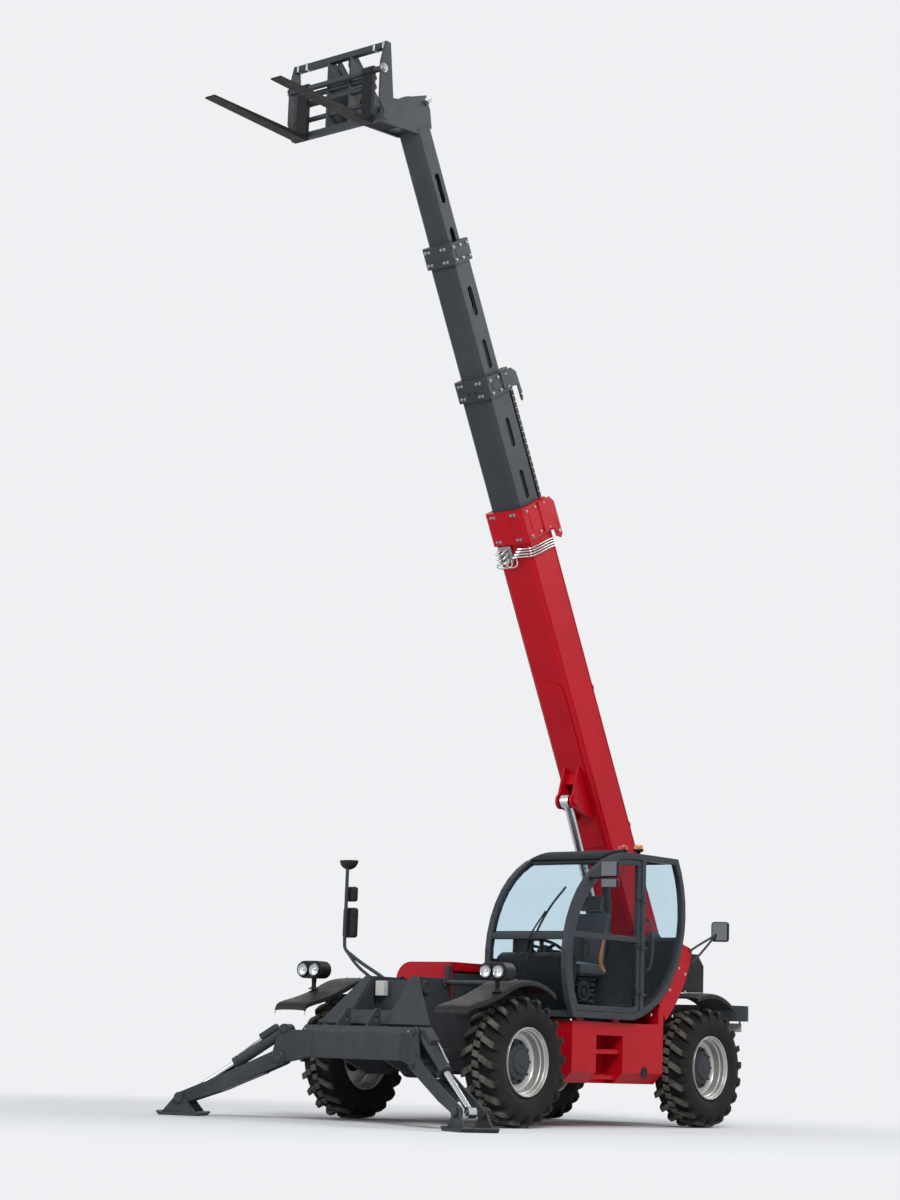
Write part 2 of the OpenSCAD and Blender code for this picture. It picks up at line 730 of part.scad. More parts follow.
// Lift cylinder from the chassis to the boom's lug
lift_x = boom_x(lug_along, -lug_drop) - lift_base_x;
lift_z = boom_z(lug_along, -lug_drop) - lift_base_z;
lift_reach = norm([lift_x, lift_z]);
lift_r = 88;
lift_rod_r = 50;
lift_barrel_l = 1560;
lift_rod_from = 1180;
lift_eye_r = 74;
lift_eye_w = 100;
module at_lift() translate([lift_base_x, boom_y, lift_base_z])
    rotate([0, -atan2(lift_z, lift_x), 0]) children();
module lift_barrel() color(charcoal) at_lift()
    barrel(lift_r, lift_rod_r + seat_gap, lift_barrel_l, lift_eye_r, lift_eye_w, lift_pin_r);
module lift_rod() color(bright) at_lift()
    rod(lift_rod_r, lift_rod_from, lift_reach, lift_eye_r, lift_eye_w, lift_pin_r);

// Fork carriage: end plates, two inner plates on the boom head's pin, cross bars and the fork shaft
inner_in = head_in + head_t + side_gap;
inner_t = 24;
tip_pin_end = inner_in + inner_t + rib_t;
end_t = 22;
end_depth = 150;
bar_h = 60;
bar_d = 70;
shaft_r = 30;
shaft_above = 190;
hook_r = 48;
carriage_drop = 310;
tilt_lever = 170;
tilt_lever_angle = 54.8;
tilt_lug_in = 60;
tilt_lug_t = 20;
tilt_lug_r = 50;
plate_hole_r = 62;
module at_tip() translate([tip_x, boom_y, tip_z]) children();
module fork_carriage() color(charcoal) at_tip() difference() {
    top = carriage_h - carriage_drop;
    back = carriage_front - bar_d;
    union() {
        for (z = [-carriage_drop, top - bar_h])
            box([back, -carriage_w / 2, z], [carriage_front - side_gap, carriage_w / 2, z + bar_h]);
        for (side = [-1, 1]) mirror([0, side < 0 ? 1 : 0, 0]) {
            plate_y(carriage_w / 2 - end_t, carriage_w / 2) polygon([
                [carriage_front - end_depth, -carriage_drop / 2],
                [back, -carriage_drop],
                [carriage_front + 2 * shaft_r, -carriage_drop / 2],
                [carriage_front + 2 * shaft_r, shaft_above + 2 * shaft_r],
                [carriage_front, top],
                [back, top]
            ]);
            plate_y(inner_in, inner_in + inner_t) {
                circle(r = tip_r);
                polygon([
                    [-tip_r, 0],
                    [0, -tip_r],
                    [back + over, -carriage_drop],
                    [carriage_front - side_gap, -carriage_drop],
                    [carriage_front - side_gap, top],
                    [back + over, top]
                ]);
            }
            tilt_lug_plate();
        }
        translate([carriage_front + shaft_r - side_gap / 2, 0, shaft_above])
            bar_y(shaft_r, -carriage_w / 2 - rib_t, carriage_w / 2 + rib_t);
    }
    bar_y(tip_pin_r + pin_fit, -carriage_w / 2, carriage_w / 2);
    translate([carriage_front / 2 + tip_r / 2, 0, 0])
        bar_y(plate_hole_r, -inner_in - inner_t - over, inner_in + inner_t + over);
}
module tilt_lug_plate() {
    pin_x = tilt_lever * cos(tilt_lever_angle);
    pin_z = tilt_lever * sin(tilt_lever_angle);
    back = carriage_front - bar_d;
    top = carriage_h - carriage_drop;
    plate_y(tilt_lug_in, tilt_lug_in + tilt_lug_t) {
        translate([pin_x, pin_z]) circle(r = tilt_lug_r);
        polygon([
            [pin_x, pin_z - tilt_lug_r],
            [back + over, top - 2 * bar_h],
            [back + over, top],
            [pin_x, pin_z + tilt_lug_r]
        ]);
    }
    translate([pin_x, 0, pin_z]) bar_y(tilt_pin_r, tilt_lug_in, tilt_lug_in + tilt_lug_t + rib_t / 2);
}
module forks() color(black) at_tip() for (side = [-1, 1])
    translate([0, side * fork_spread / 2 - fork_w / 2, 0]) difference() {
        heel_x = carriage_front + side_gap / 2;
        plate_y(0, fork_w) {
            polygon([
                [heel_x, shaft_above],
                [heel_x, -carriage_drop - fork_t / 2],
                [heel_x + fork_t / 2, -carriage_drop - fork_t],
                [carriage_front + fork_t + fork_l, -carriage_drop - fork_t * fork_tip_share],
                [carriage_front + fork_t + fork_l, -carriage_drop],
                [heel_x + fork_t + fork_t / 2, -carriage_drop],
                [heel_x + fork_t, -carriage_drop + fork_t / 2],
                [heel_x + fork_t, shaft_above]
            ]);
            translate([carriage_front + shaft_r - side_gap / 2, shaft_above]) circle(r = hook_r);
        }
        translate([carriage_front + shaft_r - side_gap / 2, 0, shaft_above])
            bar_y(shaft_r + seat_gap, -over, fork_w + over);
        box([carriage_front - 2 * shaft_r, -over, shaft_above - 2 * shaft_r],
            [carriage_front, fork_w + over, shaft_above + 2 * shaft_r]);
    }

// Tilt cylinder inside the boom head
tilt_x = tip_x + tilt_lever * cos(tilt_lever_angle) - boom_x(tilt_base_along, tilt_base_above);
tilt_z = tip_z + tilt_lever * sin(tilt_lever_angle) - boom_z(tilt_base_along, tilt_base_above);
tilt_reach = norm([tilt_x, tilt_z]);
tilt_r = 48;
tilt_rod_r = 28;
tilt_barrel_l = 450;
tilt_rod_from = 330;
tilt_eye_r = 44;
tilt_eye_w = 64;
module at_tilt()
    translate([boom_x(tilt_base_along, tilt_base_above), boom_y, boom_z(tilt_base_along, tilt_base_above)])
    rotate([0, -atan2(tilt_z, tilt_x), 0]) children();
module tilt_barrel() color(charcoal) at_tilt()
    barrel(tilt_r, tilt_rod_r + seat_gap, tilt_barrel_l, tilt_eye_r, tilt_eye_w, tilt_pin_r);
module tilt_rod() color(bright) at_tilt()
    rod(tilt_rod_r, tilt_rod_from, tilt_reach, tilt_eye_r, tilt_eye_w, tilt_pin_r);

// Cab outline: a large front arc and a large rear arc joined by a level roof and floor
cab_front_r = 1109;
cab_front_cx = 1505;
cab_rear_r = 1120;
cab_rear_cx = 1632;
cab_rear_cz = 2165;
cab_front_cz = cab_roof_z - cab_front_r;
cab_steps = 14;
floor_front_share = 0.93;
rear_bar_share = 0.17;
roof_back_share = 0.78;
floor_reach = sqrt(pow(cab_front_r, 2) - pow(cab_front_cz - cab_floor_z, 2));
floor_front = cab_front_cx + floor_reach * floor_front_share;
rear_bar_x = cab_rear_cx - cab_rear_r * rear_bar_share;
roof_back = cab_rear_cx - cab_rear_r * roof_back_share;
function cab_outline(inset) = concat(
    arc(cab_front_cx, cab_front_cz, cab_front_r - inset,
        asin((cab_floor_z + inset - cab_front_cz) / (cab_front_r - inset)), 90, cab_steps),
    arc(cab_rear_cx, cab_rear_cz, cab_rear_r - inset,
        180 - asin((cab_roof_z - inset - cab_rear_cz) / (cab_rear_r - inset)),
        180 + asin((cab_rear_cz - cab_floor_z - inset) / (cab_rear_r - inset)), cab_steps)
);
function band(cx, cz, r_out, r_in, from, to, steps) =
    concat(arc(cx, cz, r_out, from, to, steps), arc(cx, cz, r_in, to, from, steps));
module cab_face(inset) polygon(cab_outline(inset));
bay_in = cab_in_y + cab_tube + seat_gap;
bay_out = cab_out_y - cab_tube - seat_gap;
sill_z = 1620;
post_x = door_edge_x - side_gap;
// Door hinges
hinge_out = 18;
hinge_r = 16;
hinge_pin_r = 8;
hinge_h = 50;
hinge_lug_h = 18;
hinge_leaf = 70;
hinge_leaf_t = 10;
hinge_low = 1330;
hinge_pitch = 470;
// Bar across the windscreen, level with the door's middle rail
door_mid_z = 1840;
glass_t = 8;
glass_in = 26;
screen_bar_gap = 6;
screen_bar_r = cab_front_r - glass_in - glass_t - screen_bar_gap;
screen_bar_d = 24;
screen_bar_low = asin((door_mid_z - cab_front_cz) / cab_front_r);
screen_bar_span = 3.2;
module at_hinges() for (k = [0:2])
    translate([door_edge_x - over, cab_out_y + hinge_out, hinge_low + k * hinge_pitch]) children();
module cab_frame() color(charcoal) {
    for (y = [cab_in_y, cab_out_y - cab_tube]) plate_y(y, y + cab_tube) difference() {
        cab_face(0);
        cab_face(cab_tube);
    }
    // Hinge post, cross bars and hinge pins
    plate_y(cab_out_y - cab_tube, cab_out_y) intersection() {
        cab_face(cab_tube / 2);
        translate([post_x - cab_tube, 0]) square([cab_tube, 2 * cab_roof_z]);
    }
    for (p = [[floor_front, cab_floor_z], [rear_bar_x, cab_floor_z],
            [cab_front_cx, cab_roof_z - cab_tube], [roof_back, cab_roof_z - cab_tube]])
        box([p[0], cab_in_y + over, p[1]], [p[0] + cab_tube, cab_out_y - over, p[1] + cab_tube]);
    plate_y(cab_in_y + cab_tube - over, cab_out_y - cab_tube + over)
        polygon(band(cab_front_cx, cab_front_cz,
        screen_bar_r, screen_bar_r - screen_bar_d, screen_bar_low, screen_bar_low + screen_bar_span, 2));
    at_hinges() {
        box([-hinge_r - hinge_leaf, -hinge_out - over, -hinge_lug_h], [hinge_r, -hinge_out + hinge_r, 0]);
        translate([0, 0, -hinge_lug_h]) cylinder(r = hinge_r, h = hinge_lug_h);
        cylinder(r = hinge_pin_r, h = hinge_h);
    }
}

// Cab shell: floor, rear wall below the window and the lower right wall
shell_t = 24;
rear_wall_from = 192;
rear_wall_to = 180 + asin((cab_rear_cz - cab_floor_z - over) / cab_rear_r);
module cab_shell() color(charcoal) {
    box([rear_bar_x + cab_tube + seat_gap, bay_in, cab_floor_z],
        [floor_front - seat_gap, bay_out, cab_floor_z + shell_t]);
    plate_y(bay_in, bay_out) polygon(band(cab_rear_cx, cab_rear_cz, cab_rear_r - seat_gap,
        cab_rear_r - shell_t, rear_wall_from, rear_wall_to, cab_steps));
    plate_y(cab_in_y + shell_t, cab_in_y + 2 * shell_t) intersection() {
        cab_face(cab_tube + seat_gap);
        translate([0, cab_floor_z]) square([2 * cab_front_r + cab_front_cx, sill_z - cab_floor_z]);
    }
}

// Cab roof: a flat panel that bends over the front, with guard slats across it
roof_in = 18;
roof_t = 26;
roof_bend = 64;
roof_bend_end = 86.2;
slat_start = 2;
slat_count = 9;
slat_h = 44;
slat_t = 12;
slat_lean = 25;
slat_span = 22;
module cab_roof() color(charcoal) {
    box([roof_back + cab_tube + seat_gap, bay_in, cab_roof_z - roof_in - roof_t],
        [cab_front_cx - seat_gap, bay_out, cab_roof_z - roof_in]);
    for (k = [0:slat_count - 1])
        translate([cab_front_cx, 0, cab_front_cz])
            rotate([0, -(roof_bend + slat_start + k * slat_span / slat_count), 0])
            translate([cab_front_r - roof_in - over, bay_in, 0]) rotate([0, slat_lean, 0])
                cube([slat_h, bay_out - bay_in, slat_t]);
    plate_y(bay_in, bay_out) polygon(band(cab_front_cx, cab_front_cz, cab_front_r - roof_in,
        cab_front_r - roof_in - roof_t, roof_bend, roof_bend_end, cab_steps));
}

// Cab glass: windscreen, rear window, right window and left rear quarter light
screen_low = -26;
screen_gap = 0.3;
rear_light_top = 152.5;
module cab_glass() color(glass) {
    plate_y(bay_in, bay_out) polygon(band(cab_front_cx, cab_front_cz, cab_front_r - glass_in,
        cab_front_r - glass_in - glass_t, screen_low, roof_bend - screen_gap, cab_steps));
    plate_y(bay_in, bay_out) polygon(band(cab_rear_cx, cab_rear_cz, cab_rear_r - glass_in / 2,
        cab_rear_r - glass_in / 2 - glass_t, rear_light_top, rear_wall_from - screen_gap / 10, cab_steps));
    plate_y(cab_in_y + shell_t, cab_in_y + shell_t + glass_t) intersection() {
        cab_face(cab_tube + seat_gap);
        translate([0, sill_z + seat_gap]) square([2 * cab_front_r + cab_front_cx, cab_roof_z]);
    }
    plate_y(cab_out_y - shell_t - glass_t, cab_out_y - shell_t) intersection() {
        cab_face(cab_tube + seat_gap);
        square([post_x - cab_tube - seat_gap, cab_roof_z]);
    }
}

// Cab door: a frame with a middle rail inside the left loop
door_rail = 55;
door_t = 44;
door_in = 10;
module door_field(inset) intersection() {
    cab_face(cab_tube + side_gap + inset);
    translate([door_edge_x + inset, 0]) square([cab_front_r + cab_front_cx, 2 * cab_roof_z]);
}
module cab_door() color(charcoal) {
    plate_y(cab_out_y - door_in - door_t, cab_out_y - door_in) difference() {
        door_field(0);
        difference() {
            door_field(door_rail);
            translate([0, door_mid_z]) square([cab_front_r + cab_front_cx, door_rail]);
        }
    }
    at_hinges() difference() {
        union() {
            translate([0, 0, seat_gap]) cylinder(r = hinge_r, h = hinge_h - seat_gap);
            box([0, -hinge_out - door_in - over, seat_gap],
                [hinge_leaf, -hinge_out + hinge_leaf_t, hinge_h]);
        }
        translate([0, 0, -over]) cylinder(r = hinge_pin_r + pin_fit, h = 2 * hinge_h);
    }
}
module door_glass() color(glass) {
    mid = cab_out_y - door_in - door_t / 2;
    plate_y(mid - glass_t / 2, mid + glass_t / 2) difference() {
        door_field(door_rail + seat_gap);
        translate([0, door_mid_z - seat_gap])
            square([cab_front_r + cab_front_cx, door_rail + 2 * seat_gap]);
    }
}

// Operator's seat on a pedestal
seat_x = 1530;
seat_shift = 20;
seat_y = (cab_in_y + cab_out_y) / 2 - seat_shift;
seat_w = 500;
seat_d = 480;
seat_pad = 110;
seat_up = 420;
pedestal_w = 340;
pedestal_d = 384;
back_h = 620;
back_t = 110;
back_lean = 12;
module operator_seat() color(black) {
    floor_z = cab_floor_z + shell_t;
    box([seat_x, seat_y - pedestal_w / 2, floor_z],
        [seat_x + pedestal_d, seat_y + pedestal_w / 2, floor_z + seat_up]);
    box([seat_x, seat_y - seat_w / 2, floor_z + seat_up - over],
        [seat_x + seat_d, seat_y + seat_w / 2, floor_z + seat_up + seat_pad]);
    translate([seat_x, seat_y - seat_w / 2, floor_z + seat_up + seat_pad - back_t / 2])
        rotate([0, -back_lean, 0]) cube([back_t, seat_w, back_h]);
}

// Controls: steering column and wheel, dash pod and a side console
column_x = 2230;
column_r = 45;
column_h = 640;
wheel_r = 190;
wheel_rim_r = 16;
wheel_lean = 28;
spoke_first = 60;
console_w = 130;
console_h = 560;
console_l = 560;
dash_w = 260;
dash_h = 170;
dash_d = 70;
module controls() color(black) {
    floor_z = cab_floor_z + shell_t;
    translate([column_x, seat_y, floor_z]) {
        cylinder(r = column_r, h = column_h);
        translate([0, 0, column_h]) rotate([0, -wheel_lean, 0]) {
            rotate_extrude() translate([wheel_r, 0]) circle(r = wheel_rim_r);
            for (k = [0:2]) rotate([0, 0, spoke_first + k * 120])
                translate([0, -wheel_rim_r, -wheel_rim_r / 2])
                cube([wheel_r, 2 * wheel_rim_r, wheel_rim_r]);
            translate([0, 0, -2 * column_r])
                cylinder(r = column_r + wheel_rim_r, h = 2 * column_r + wheel_rim_r);
        }
        translate([column_r, -dash_w / 2, column_h - 2 * dash_h]) cube([dash_d, dash_w, dash_h]);
        translate([0, -wheel_rim_r, column_h - 2 * dash_h]) cube([2 * column_r, 2 * wheel_rim_r, dash_h]);
    }
    box([seat_x, bay_in + shell_t, floor_z],
        [seat_x + console_l, bay_in + shell_t + console_w, floor_z + console_h]);
}

// Bodywork between the axles keeps clear of the steered tyres
body_back = 800;
body_front = 2390;
left_rail_y = boom_y + rail_out;
right_rail_y = boom_y - rail_out;

// Side tank under the cab with a stepped recess
tank_out = 1110;
tank_low = 430;
tank_top = 1030;
tank_cut = 110;
step_from = 1520;
step_to = 1980;
step_depth = 230;
step_floor = 60;
step_low = 470;
step_pitch = 250;
step_t = 36;
step_top = 900;
cab_mount_w = 56;
cab_mount_l = 110;
cab_mount_out = 1020;
module side_tank() {
    color(red) difference() {
        along_x(body_back, body_front) polygon([
            [left_rail_y, tank_low],
            [tank_out - tank_cut, tank_low],
            [tank_out, tank_low + tank_cut],
            [tank_out, tank_top],
            [left_rail_y, tank_top]
        ]);
        box([step_from, tank_out - step_depth, tank_low - over], [step_to, tank_out + over, step_top]);
    }
    // Rubber mounts that carry the cab
    color(black) for (x = [door_edge_x + 2 * cab_mount_l, body_front - 2 * cab_mount_l],
        y = [cab_in_y + over, cab_mount_out])
        box([x, y, tank_top], [x + cab_mount_l, y + cab_mount_w, cab_floor_z]);
    color(charcoal) for (k = [0:1])
        box([step_from - over, tank_out - step_depth + step_floor, step_low + k * step_pitch],
            [step_to + over, tank_out - step_floor / 2 - (1 - k) * step_floor,
                step_low + k * step_pitch + step_t]);
}

// Engine block on its mounts, under the hood on the right
engine_l = 950;
engine_w = 480;
engine_h = 720;
engine_low = 540;
engine_out = 120;
engine_x = 1100;
mount_w = 90;
module engine_block() color(charcoal) {
    y1 = right_rail_y - engine_out;
    box([engine_x, y1 - engine_w, engine_low], [engine_x + engine_l, y1, engine_low + engine_h]);
    for (x = [engine_x + mount_w, engine_x + engine_l - 2 * mount_w])
        box([x, y1 - over, engine_low + mount_w], [x + mount_w, right_rail_y, engine_low + 2 * mount_w]);
}

// Engine hood: a shell over the engine, hinged along its inner top edge
hood_out = 1150;
hood_low = 520;
hood_top = 1590;
hood_wall = 14;
hood_round = 190;
hood_gap = 22;
hood_hinge_drop = 60;
hood_pin_r = 14;
hood_post_t = 40;
hood_post_w = 26;
vent_l = 620;
vent_h = 26;
vent_count = 7;
vent_pitch = 56;
vent_low = 820;
hood_hinge_y = right_rail_y - hood_gap - 2 * hood_pin_r;
hood_hinge_z = hood_top - hood_hinge_drop;
module hood_outline(inset) polygon(concat(
    [[right_rail_y - hood_gap, hood_low - over * (inset > 0 ? 1 : 0)],
        [right_rail_y - hood_gap, hood_top - inset]],
    arc(-hood_out + hood_round, hood_top - hood_round, hood_round - inset, 90, 170, 8),
    [[-hood_out + inset, hood_low - over * (inset > 0 ? 1 : 0)]]
));
module engine_hood() color(red) difference() {
    along_x(body_back, body_front) hood_outline(0);
    along_x(body_back + hood_wall, body_front - hood_wall) translate([over, 0]) hood_outline(hood_wall);
    // Louvres in the side and the rear end
    for (k = [0:vent_count - 1])
        box([(body_back + body_front - vent_l) / 2, -hood_out - over, vent_low + k * vent_pitch],
            [(body_back + body_front + vent_l) / 2, -hood_out + 2 * hood_wall,
                vent_low + k * vent_pitch + vent_h]);
    // Hinge bores through both ends
    translate([body_back - over, hood_hinge_y, hood_hinge_z]) rotate([0, 90, 0])
        cylinder(r = hood_pin_r + pin_fit, h = body_front - body_back + 2 * over);
}
// Hinge posts of the hood, part of the chassis
module hood_posts() for (end = [0, 1]) {
    x = end == 0 ? body_back - side_gap - hood_post_t : body_front + side_gap;
    box([x, hood_hinge_y - hood_post_w, rail_top - hood_post_w],
        [x + hood_post_t, right_rail_y + over, rail_top]);
    box([x, hood_hinge_y - hood_post_w, rail_top - hood_post_w],
        [x + hood_post_t, hood_hinge_y + hood_post_w, hood_hinge_z + hood_post_w]);
    translate([end == 0 ? x : x - side_gap - hood_wall, hood_hinge_y, hood_hinge_z]) rotate([0, 90, 0])
        cylinder(r = hood_pin_r, h = hood_post_t + side_gap + hood_wall);
}

// Counterweight with the rear hitch jaw
weight_half = 480;
weight_low = 560;
weight_cut = 90;
jaw_z = 690;
jaw_gap = 70;
jaw_t = 34;
jaw_w = 150;
jaw_pin_r = 16;
module counterweight() color(charcoal) difference() {
    union() {
        plate_y(-weight_half, weight_half) polygon([
            [-rail_tail, weight_low],
            [-weight_back + weight_cut, weight_low],
            [-weight_back, weight_low + weight_cut],
            [-weight_back, tail_top],
            [-rail_tail, tail_top]
        ]);
        for (z = [jaw_z, jaw_z + jaw_t + jaw_gap])
            box([-weight_back - hitch_l, -jaw_w / 2, z], [-weight_back + over, jaw_w / 2, z + jaw_t]);
    }
    translate([-weight_back - hitch_l / 2, 0, jaw_z - over])
        cylinder(r = jaw_pin_r, h = 2 * jaw_t + jaw_gap + 2 * over);
}

// Rear bumper beam with rounded ends and lamp pockets
bumper_half = 1000;
bumper_d = 250;
bumper_h = 165;
bumper_gap = 60;
rear_lamp_r = 42;
rear_lamp_t = 12;
module rear_bumper() {
    front = -rail_tail - bumper_gap;
    color(charcoal) translate([0, 0, tail_top]) linear_extrude(bumper_h) {
        translate([front - bumper_d, -bumper_half + bumper_d / 2])
            square([bumper_d, 2 * bumper_half - bumper_d]);
        for (side = [-1, 1])
            translate([front - bumper_d / 2, side * (bumper_half - bumper_d / 2)]) circle(r = bumper_d / 2);
    }
    color(red) for (side = [-1, 1], k = [0:1])
        translate([front - bumper_d - rear_lamp_t,
            side * (bumper_half - bumper_d - k * 3 * rear_lamp_r), tail_top + bumper_h / 2])
            rotate([0, 90, 0]) cylinder(r = rear_lamp_r, h = rear_lamp_t + over);
}

// Fenders: curved plates over the tyres on bars from the side plates, with lamp posts in front
fender_r = 765;
fender_t = 14;
fender_lip = 48;
fender_in = 800;
fender_out = 1195;
fender_bar_r = 26;
lamp_x = 3665;
lamp_y = 1150;
lamp_post_r = 20;
post_foot = 634;
lamp_z = 1360;
tip_out = 990;
tip_z_up = 495;
function fender_edge(r, more) = let (knee = r * [cos(62), sin(62)], tip = [tip_out, tip_z_up - fender_r + r])
    concat(arc(0, 0, r, 122 + more, 62, 8), [knee + (tip - knee) * (1 + more / 100)]);
function fender_shape(outer, inner, more) =
    concat(fender_edge(outer, more), [for (k = [9:-1:0]) fender_edge(inner, more)[k]]);
module fender_bar(x, z, out) {
    translate([x, 0, z]) bar_y(fender_bar_r, left_rail_y, out);
    translate([x, 0, z]) bar_y(fender_bar_r, -out, right_rail_y);
}
module front_fenders() color(black) {
    both_sides() at_front_axle() difference() {
        plate_y(fender_in, fender_out) polygon(fender_shape(fender_r, fender_r - fender_lip, 0));
        plate_y(fender_in + fender_t, fender_out - fender_t)
            polygon(fender_shape(fender_r - fender_t, fender_r - 2 * fender_lip, 3));
    }
    fender_bar(front_x + fender_bar_r, axle_z + fender_r - fender_t - fender_bar_r / 2,
        fender_out - 4 * fender_bar_r);
    both_sides() translate([lamp_x, lamp_y, axle_z + post_foot])
        cylinder(r = lamp_post_r, h = lamp_z - axle_z - post_foot);
}
module rear_fenders() color(black) {
    both_sides() at_rear_axle() difference() {
        plate_y(fender_in, fender_out) polygon(band(0, 0, fender_r, fender_r - fender_lip, 128, 68, 8));
        plate_y(fender_in + fender_t, fender_out - fender_t)
            polygon(band(0, 0, fender_r - fender_t, fender_r - 2 * fender_lip, 131, 65, 8));
    }
    fender_bar(-2 * fender_bar_r, axle_z + fender_r - fender_t - fender_bar_r / 2,
        fender_out - 4 * fender_bar_r);
}

// Lamps: two headlamp pods on the fender posts and two beacons on the roof
pod_w = 322;
pod_h = 172;
pod_d = 170;
pod_lamp_r = 66;
pod_lamp_t = 14;
beacon_r = 52;
beacon_h = 50;
beacon_cap_h = 24;
stem_r = 22;
stem_h = 90;
beacon_x = 890;
beacon_y = 620;
beacon_pitch = 200;
module lamps() {
    both_sides() translate([lamp_x, lamp_y, lamp_z]) {
        color(black) translate([-pod_d / 2, 0, pod_h / 2]) rotate([90, 0, 90]) linear_extrude(pod_d) {
            translate([-pod_w / 2 + pod_h / 2, -pod_h / 2]) square([pod_w - pod_h, pod_h]);
            for (end = [-1, 1]) translate([end * (pod_w - pod_h) / 2, 0]) circle(r = pod_h / 2);
        }
        color(bright) for (side = [-1, 1])
            translate([pod_d / 2 - over, side * (pod_w - pod_h) / 2, pod_h / 2])
            rotate([0, 90, 0]) cylinder(r = pod_lamp_r, h = pod_lamp_t);
    }
    color("orange") for (k = [0:1])
        translate([beacon_x, beacon_y + k * beacon_pitch, cab_roof_z - roof_in]) {
            cylinder(r = stem_r, h = stem_h + over);
            translate([0, 0, stem_h]) cylinder(r = beacon_r, h = beacon_h);
            translate([0, 0, stem_h + beacon_h]) cylinder(r1 = beacon_r, r2 = stem_r, h = beacon_cap_h);
        }
}

// Mirrors: a pole on the right front, one on the cab's left front pillar and one at the left rear
pole_r = 17;
pole_x = 3400;
pole_z = 1330;
pole_out = 1000;
pole_knee_z = 1660;
pole_top_z = 2500;
glass_h = 300;
glass_w = 190;
glass_d = 60;
small_h = 150;
rear_glass_h = 210;
arm_mirror_z = 2430;
arm_mirror_x = cab_front_cx + sqrt(pow(cab_front_r - cab_tube / 2, 2) - pow(arm_mirror_z - cab_front_cz, 2));
arm_mirror_ahead = 150;
arm_mirror_out = 1510;
rear_mirror_x = -60;
rear_mirror_y = 1235;
rear_mirror_z = 2030;
rear_strut_x = 330;
rear_strut_z = 1740;
module mirror_head(p, w, h) translate(p) translate([-glass_d / 2, -w / 2, -h / 2]) cube([glass_d, w, h]);
module mirrors() color(black) {
    translate([pole_x, 0, pole_z]) bar_y(2 * pole_r, right_rail_y - 2 * pole_r, right_rail_y);
    between([pole_x, right_rail_y - pole_r, pole_z], [pole_x, -pole_out, pole_knee_z], pole_r);
    between([pole_x, -pole_out, pole_knee_z - pole_r], [pole_x, -pole_out, pole_top_z], pole_r);
    mirror_head([pole_x - glass_d / 2, -pole_out, pole_top_z - small_h / 2], glass_w, small_h);
    mirror_head([pole_x - glass_d / 2, -pole_out, pole_top_z - 2 * small_h], glass_w, small_h);
    mirror_head([pole_x - glass_d / 2, -pole_out, pole_top_z - 3 * small_h - glass_h / 2], glass_w,
        glass_h);
    translate([arm_mirror_x, 0, arm_mirror_z]) bar_y(pole_r + side_gap, cab_out_y, cab_out_y + pole_r);
    between([arm_mirror_x, cab_out_y + pole_r, arm_mirror_z],
        [arm_mirror_x + arm_mirror_ahead, arm_mirror_out, arm_mirror_z], pole_r);
    mirror_head([arm_mirror_x + arm_mirror_ahead, arm_mirror_out, arm_mirror_z], glass_w, glass_h);
    translate([rear_strut_x, 0, rear_strut_z]) bar_y(2 * pole_r, tank_out, tank_out + pole_r);
    between([rear_strut_x, tank_out + pole_r, rear_strut_z],
        [rear_mirror_x, rear_mirror_y, rear_mirror_z], pole_r);
    mirror_head([rear_mirror_x, rear_mirror_y, rear_mirror_z], glass_w, rear_glass_h);
}

// Side panel that follows the rear of the cab, standing on the tank
panel_gap = 12;
panel_d = 265;
panel_from = 194;
panel_to = 231;
panel_leg = 90;
module side_panel() color(red) {
    plate_y(left_rail_y + panel_d, tank_out)
        polygon(band(cab_rear_cx, cab_rear_cz, cab_rear_r + panel_gap + panel_d,
        cab_rear_r + panel_gap, panel_from, panel_to, cab_steps));
    box([body_back, left_rail_y + panel_d, tank_top],
        [body_back + panel_leg, tank_out, tank_top + 2 * panel_leg]);
}

// Rear cover over the hydraulics beside the tower
cover_back = 330;
cover_l = 520;
cover_low = 1400;
cover_h = 400;
cover_out = 860;
cover_cut = 120;
module rear_cover() color(charcoal) plate_y(left_rail_y, cover_out) polygon([
    [-cover_back, cover_low],
    [-cover_back + cover_l, cover_low],
    [-cover_back + cover_l, cover_low + cover_h - cover_cut],
    [-cover_back + cover_l - cover_cut, cover_low + cover_h],
    [-cover_back + cover_cut, cover_low + cover_h],
    [-cover_back, cover_low + cover_h - cover_cut]
]);

in_frame() chassis_frame();
in_frame() front_beam();
in_frame() counterweight();
in_frame() rear_bumper();
in_frame() side_tank();
in_frame() at_front_axle() axle();  // axle_front
in_frame() at_rear_axle() axle();  // axle_rear
in_frame() engine_block();
in_frame() front_fenders();
in_frame() rear_fenders();
in_frame() lamps();
in_frame() mirrors();
in_frame() side_panel();
in_frame() rear_cover();
in_frame() cab_frame();
in_frame() cab_shell();
in_frame() cab_roof();
in_frame() cab_glass();
in_frame() operator_seat();
in_frame() controls();
in_frame() cab_door();
in_frame() door_glass();
in_frame() engine_hood();
in_frame() at_front_axle() station(kingpin_y, false) knuckle();  // knuckle_fl
in_frame() at_front_axle() station(kingpin_y, true) knuckle();  // knuckle_fr
in_frame() at_rear_axle() station(kingpin_y, false) knuckle();  // knuckle_rl
in_frame() at_rear_axle() station(kingpin_y, true) knuckle();  // knuckle_rr
in_frame() at_front_axle() wheel_station(false) rim();  // rim_fl
in_frame() at_front_axle() wheel_station(true) rim();  // rim_fr
in_frame() at_rear_axle() wheel_station(false) rim();  // rim_rl
in_frame() at_rear_axle() wheel_station(true) rim();  // rim_rr
in_frame() at_front_axle() wheel_station(false) tyre();  // tyre_fl
in_frame() at_front_axle() wheel_station(true) tyre();  // tyre_fr
in_frame() at_rear_axle() wheel_station(false) tyre();  // tyre_rl
